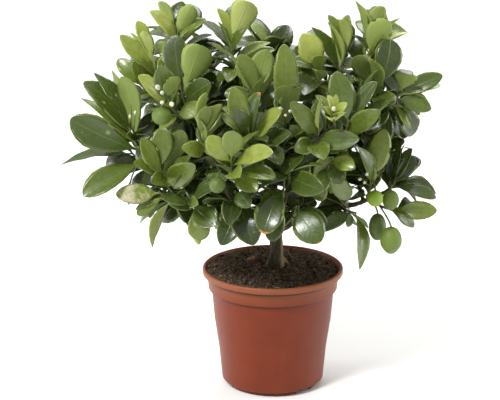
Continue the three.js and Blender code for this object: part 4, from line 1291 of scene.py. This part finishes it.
def fruit_form():
    """A round fruit with a hollow at the stalk and a small one below, drawn out ring by ring."""
    stations = []
    count = 18
    for step in range(count + 1):
        angle = math.pi * (step + 0.35) / (count + 0.7)
        height = -math.cos(angle)
        near = math.exp(-((1 - abs(height)) / 0.035))
        stations.append((height - 0.07 * near * height, math.sin(angle), math.sin(angle)))
    return Form(drawn_out("fruit", stations, 28), stations)


def calyx_form():
    """A five-lobed cup under the stalk."""
    bpy.ops.object.select_all(action="DESELECT")
    bpy.ops.mesh.primitive_cylinder_add(vertices=20, radius=1, depth=0.5)
    cup = bpy.context.object
    bpy.ops.object.mode_set(mode="EDIT")
    bpy.ops.mesh.select_all(action="SELECT")
    bpy.ops.mesh.bevel(offset=0.1, segments=1)
    bpy.ops.object.mode_set(mode="OBJECT")
    for vertex in cup.data.vertices:
        angle = math.atan2(vertex.co.y, vertex.co.x)
        radius = math.hypot(vertex.co.x, vertex.co.y)
        lobe = 0.72 + 0.28 * math.cos(5 * angle)
        slope = 0.62 - 0.38 * math.copysign(1, vertex.co.z)
        if radius > 0.1:
            vertex.co.x *= lobe * slope
            vertex.co.y *= lobe * slope
            vertex.co.z -= 0.18 * lobe
    return Form(cup)


def fruit_pieces(look):
    ball, cup, rod = fruit_form(), calyx_form(), rod_form(8)
    for name, centre, half_width, half_height, point, origin, ripe in FRUITS:
        middle = np.array(centre, float)
        x, along, z = ball.points.T
        narrow = 1 - point * np.maximum(0, -along - 0.3)
        spots = middle + np.stack([x * half_width * narrow, z * half_width * narrow,
                                   along * half_height], 1)
        top = middle + np.array([0, 0, half_height * 0.93])
        guides = (top, top + np.array([0, 0, 6]), np.array(origin, float))
        stalk = along_curve(rod, lambda share: bow_point(guides, share), 1.25, 1.0, 0.2)
        cup_spots = cup.points * np.array([3.3, 3.3, 3.0]) + top + np.array([0, 0, 0.7])
        copies = [(ball, spots * MM, {"tone": ripe}), (cup, cup_spots * MM, {"woody": 1.0}),
                  (rod, stalk, {"woody": 1.0})]
        piece = gathered("fruit_with_stalk_" + name, copies, look)
        settle(piece, "fruit_skin", "fruit_" + name)


def bud_pieces(look):
    stations = [(0.0, 0.25, 0.25), (0.08, 0.62, 0.62), (0.25, 0.9, 0.9), (0.5, 1.0, 1.0),
                (0.75, 0.82, 0.82), (0.93, 0.45, 0.45), (1.0, 0.12, 0.12)]
    bud, rod = Form(drawn_out("bud", stations, 10), stations), rod_form(6)
    for name, origin, buds in BUD_SPRAYS:
        start = np.array(origin, float)
        copies = []
        for x, y, z, radius in buds:
            centre = np.array([x, y, z], float)
            way = unit(centre - start)
            first = square_to(way, np.array([0.4, -0.8, 0.4]))
            second = np.cross(way, first)
            a, along, b = bud.points.T
            spots = (centre + np.outer((along - 0.5) * 2.7 * radius, way)
                     + np.outer(a * 0.84 * radius, first) + np.outer(b * 0.84 * radius, second))
            copies.append((bud, spots * MM, {}))
            guides = (start, (start + centre) / 2 + np.array([0, 0, -2]), centre)
            copies.append((rod, along_curve(rod, lambda share: bow_point(guides, share), 0.8,
                                            0.65), {"woody": 1.0}))
        settle(gathered("white_" + name, copies, look), "bud", name)


# ---- Stage, light and camera ----------------------------------------------------------------

def set_stage():
    bpy.ops.object.select_all(action="DESELECT")
    bpy.ops.mesh.primitive_plane_add(size=16)
    floor = bpy.context.object
    floor.name = "floor"
    look = Look("pale_floor")
    floor.data.materials.append(look.finish((0.86, 0.86, 0.85), 0.8, specular=0.1))


def softbox(name, place, aim, size, power):
    bpy.ops.object.select_all(action="DESELECT")
    bpy.ops.object.light_add(type="AREA", location=place)
    lamp = bpy.context.object
    lamp.name = name
    lamp.data.shape = "RECTANGLE"
    lamp.data.size, lamp.data.size_y = size
    lamp.data.energy = power
    way = Vector(aim) - Vector(place)
    lamp.rotation_euler = way.to_track_quat("-Z", "Y").to_euler()


def set_light():
    bpy.ops.object.select_all(action="DESELECT")
    bpy.ops.object.light_add(type="SUN", location=(-1, -1, 2))
    sun = bpy.context.object
    sun.name = "key_light"
    sun.data.energy = 3.0
    sun.data.angle = math.radians(16)
    sun.rotation_euler = Vector((0.5, 0.6, -0.85)).to_track_quat("-Z", "Y").to_euler()
    softbox("left_box", (-1.5, 0.1, 0.35), (0, 0, 0.1), (0.35, 1.2), 8)
    softbox("right_box", (1.5, 0.1, 0.5), (0, 0, 0.1), (0.3, 1.2), 8)
    softbox("top_box", (0.1, 0.8, 1.6), (0, 0, 0.3), (1.2, 0.9), 20)
    world = bpy.data.worlds.new("studio")
    world.use_nodes = True
    shade = world.node_tree.nodes["Background"]
    shade.inputs["Color"].default_value = (1, 1, 1, 1)
    shade.inputs["Strength"].default_value = 0.5
    bpy.context.scene.world = world


def set_camera():
    back = Vector((0, -math.cos(VIEW_RISE), math.sin(VIEW_RISE)))
    place = CAMERA_AIM + CAMERA_DISTANCE * back
    bpy.ops.object.select_all(action="DESELECT")
    bpy.ops.object.camera_add(location=place)
    camera = bpy.context.object
    camera.rotation_euler = (CAMERA_AIM - place).to_track_quat("-Z", "Y").to_euler()
    camera.data.lens = 180
    camera.data.sensor_width = 36
    bpy.context.scene.camera = camera
    bpy.context.scene.view_settings.view_transform = "Standard"


set_camera()
pot_piece(pot_look())
soil_pieces(soil_look("peat", (0.010, 0.007, 0.005), (0.185, 0.125, 0.088)),
            soil_look("fibre", (0.10, 0.06, 0.03), (0.42, 0.30, 0.17)),
            soil_look("bark_chip", (0.10, 0.045, 0.02), (0.34, 0.17, 0.085)))
wood_piece(bark_look())
shoot_pieces(leaf_look())
fruit_pieces(fruit_look())
bud_pieces(bud_look())
set_stage()
set_light()
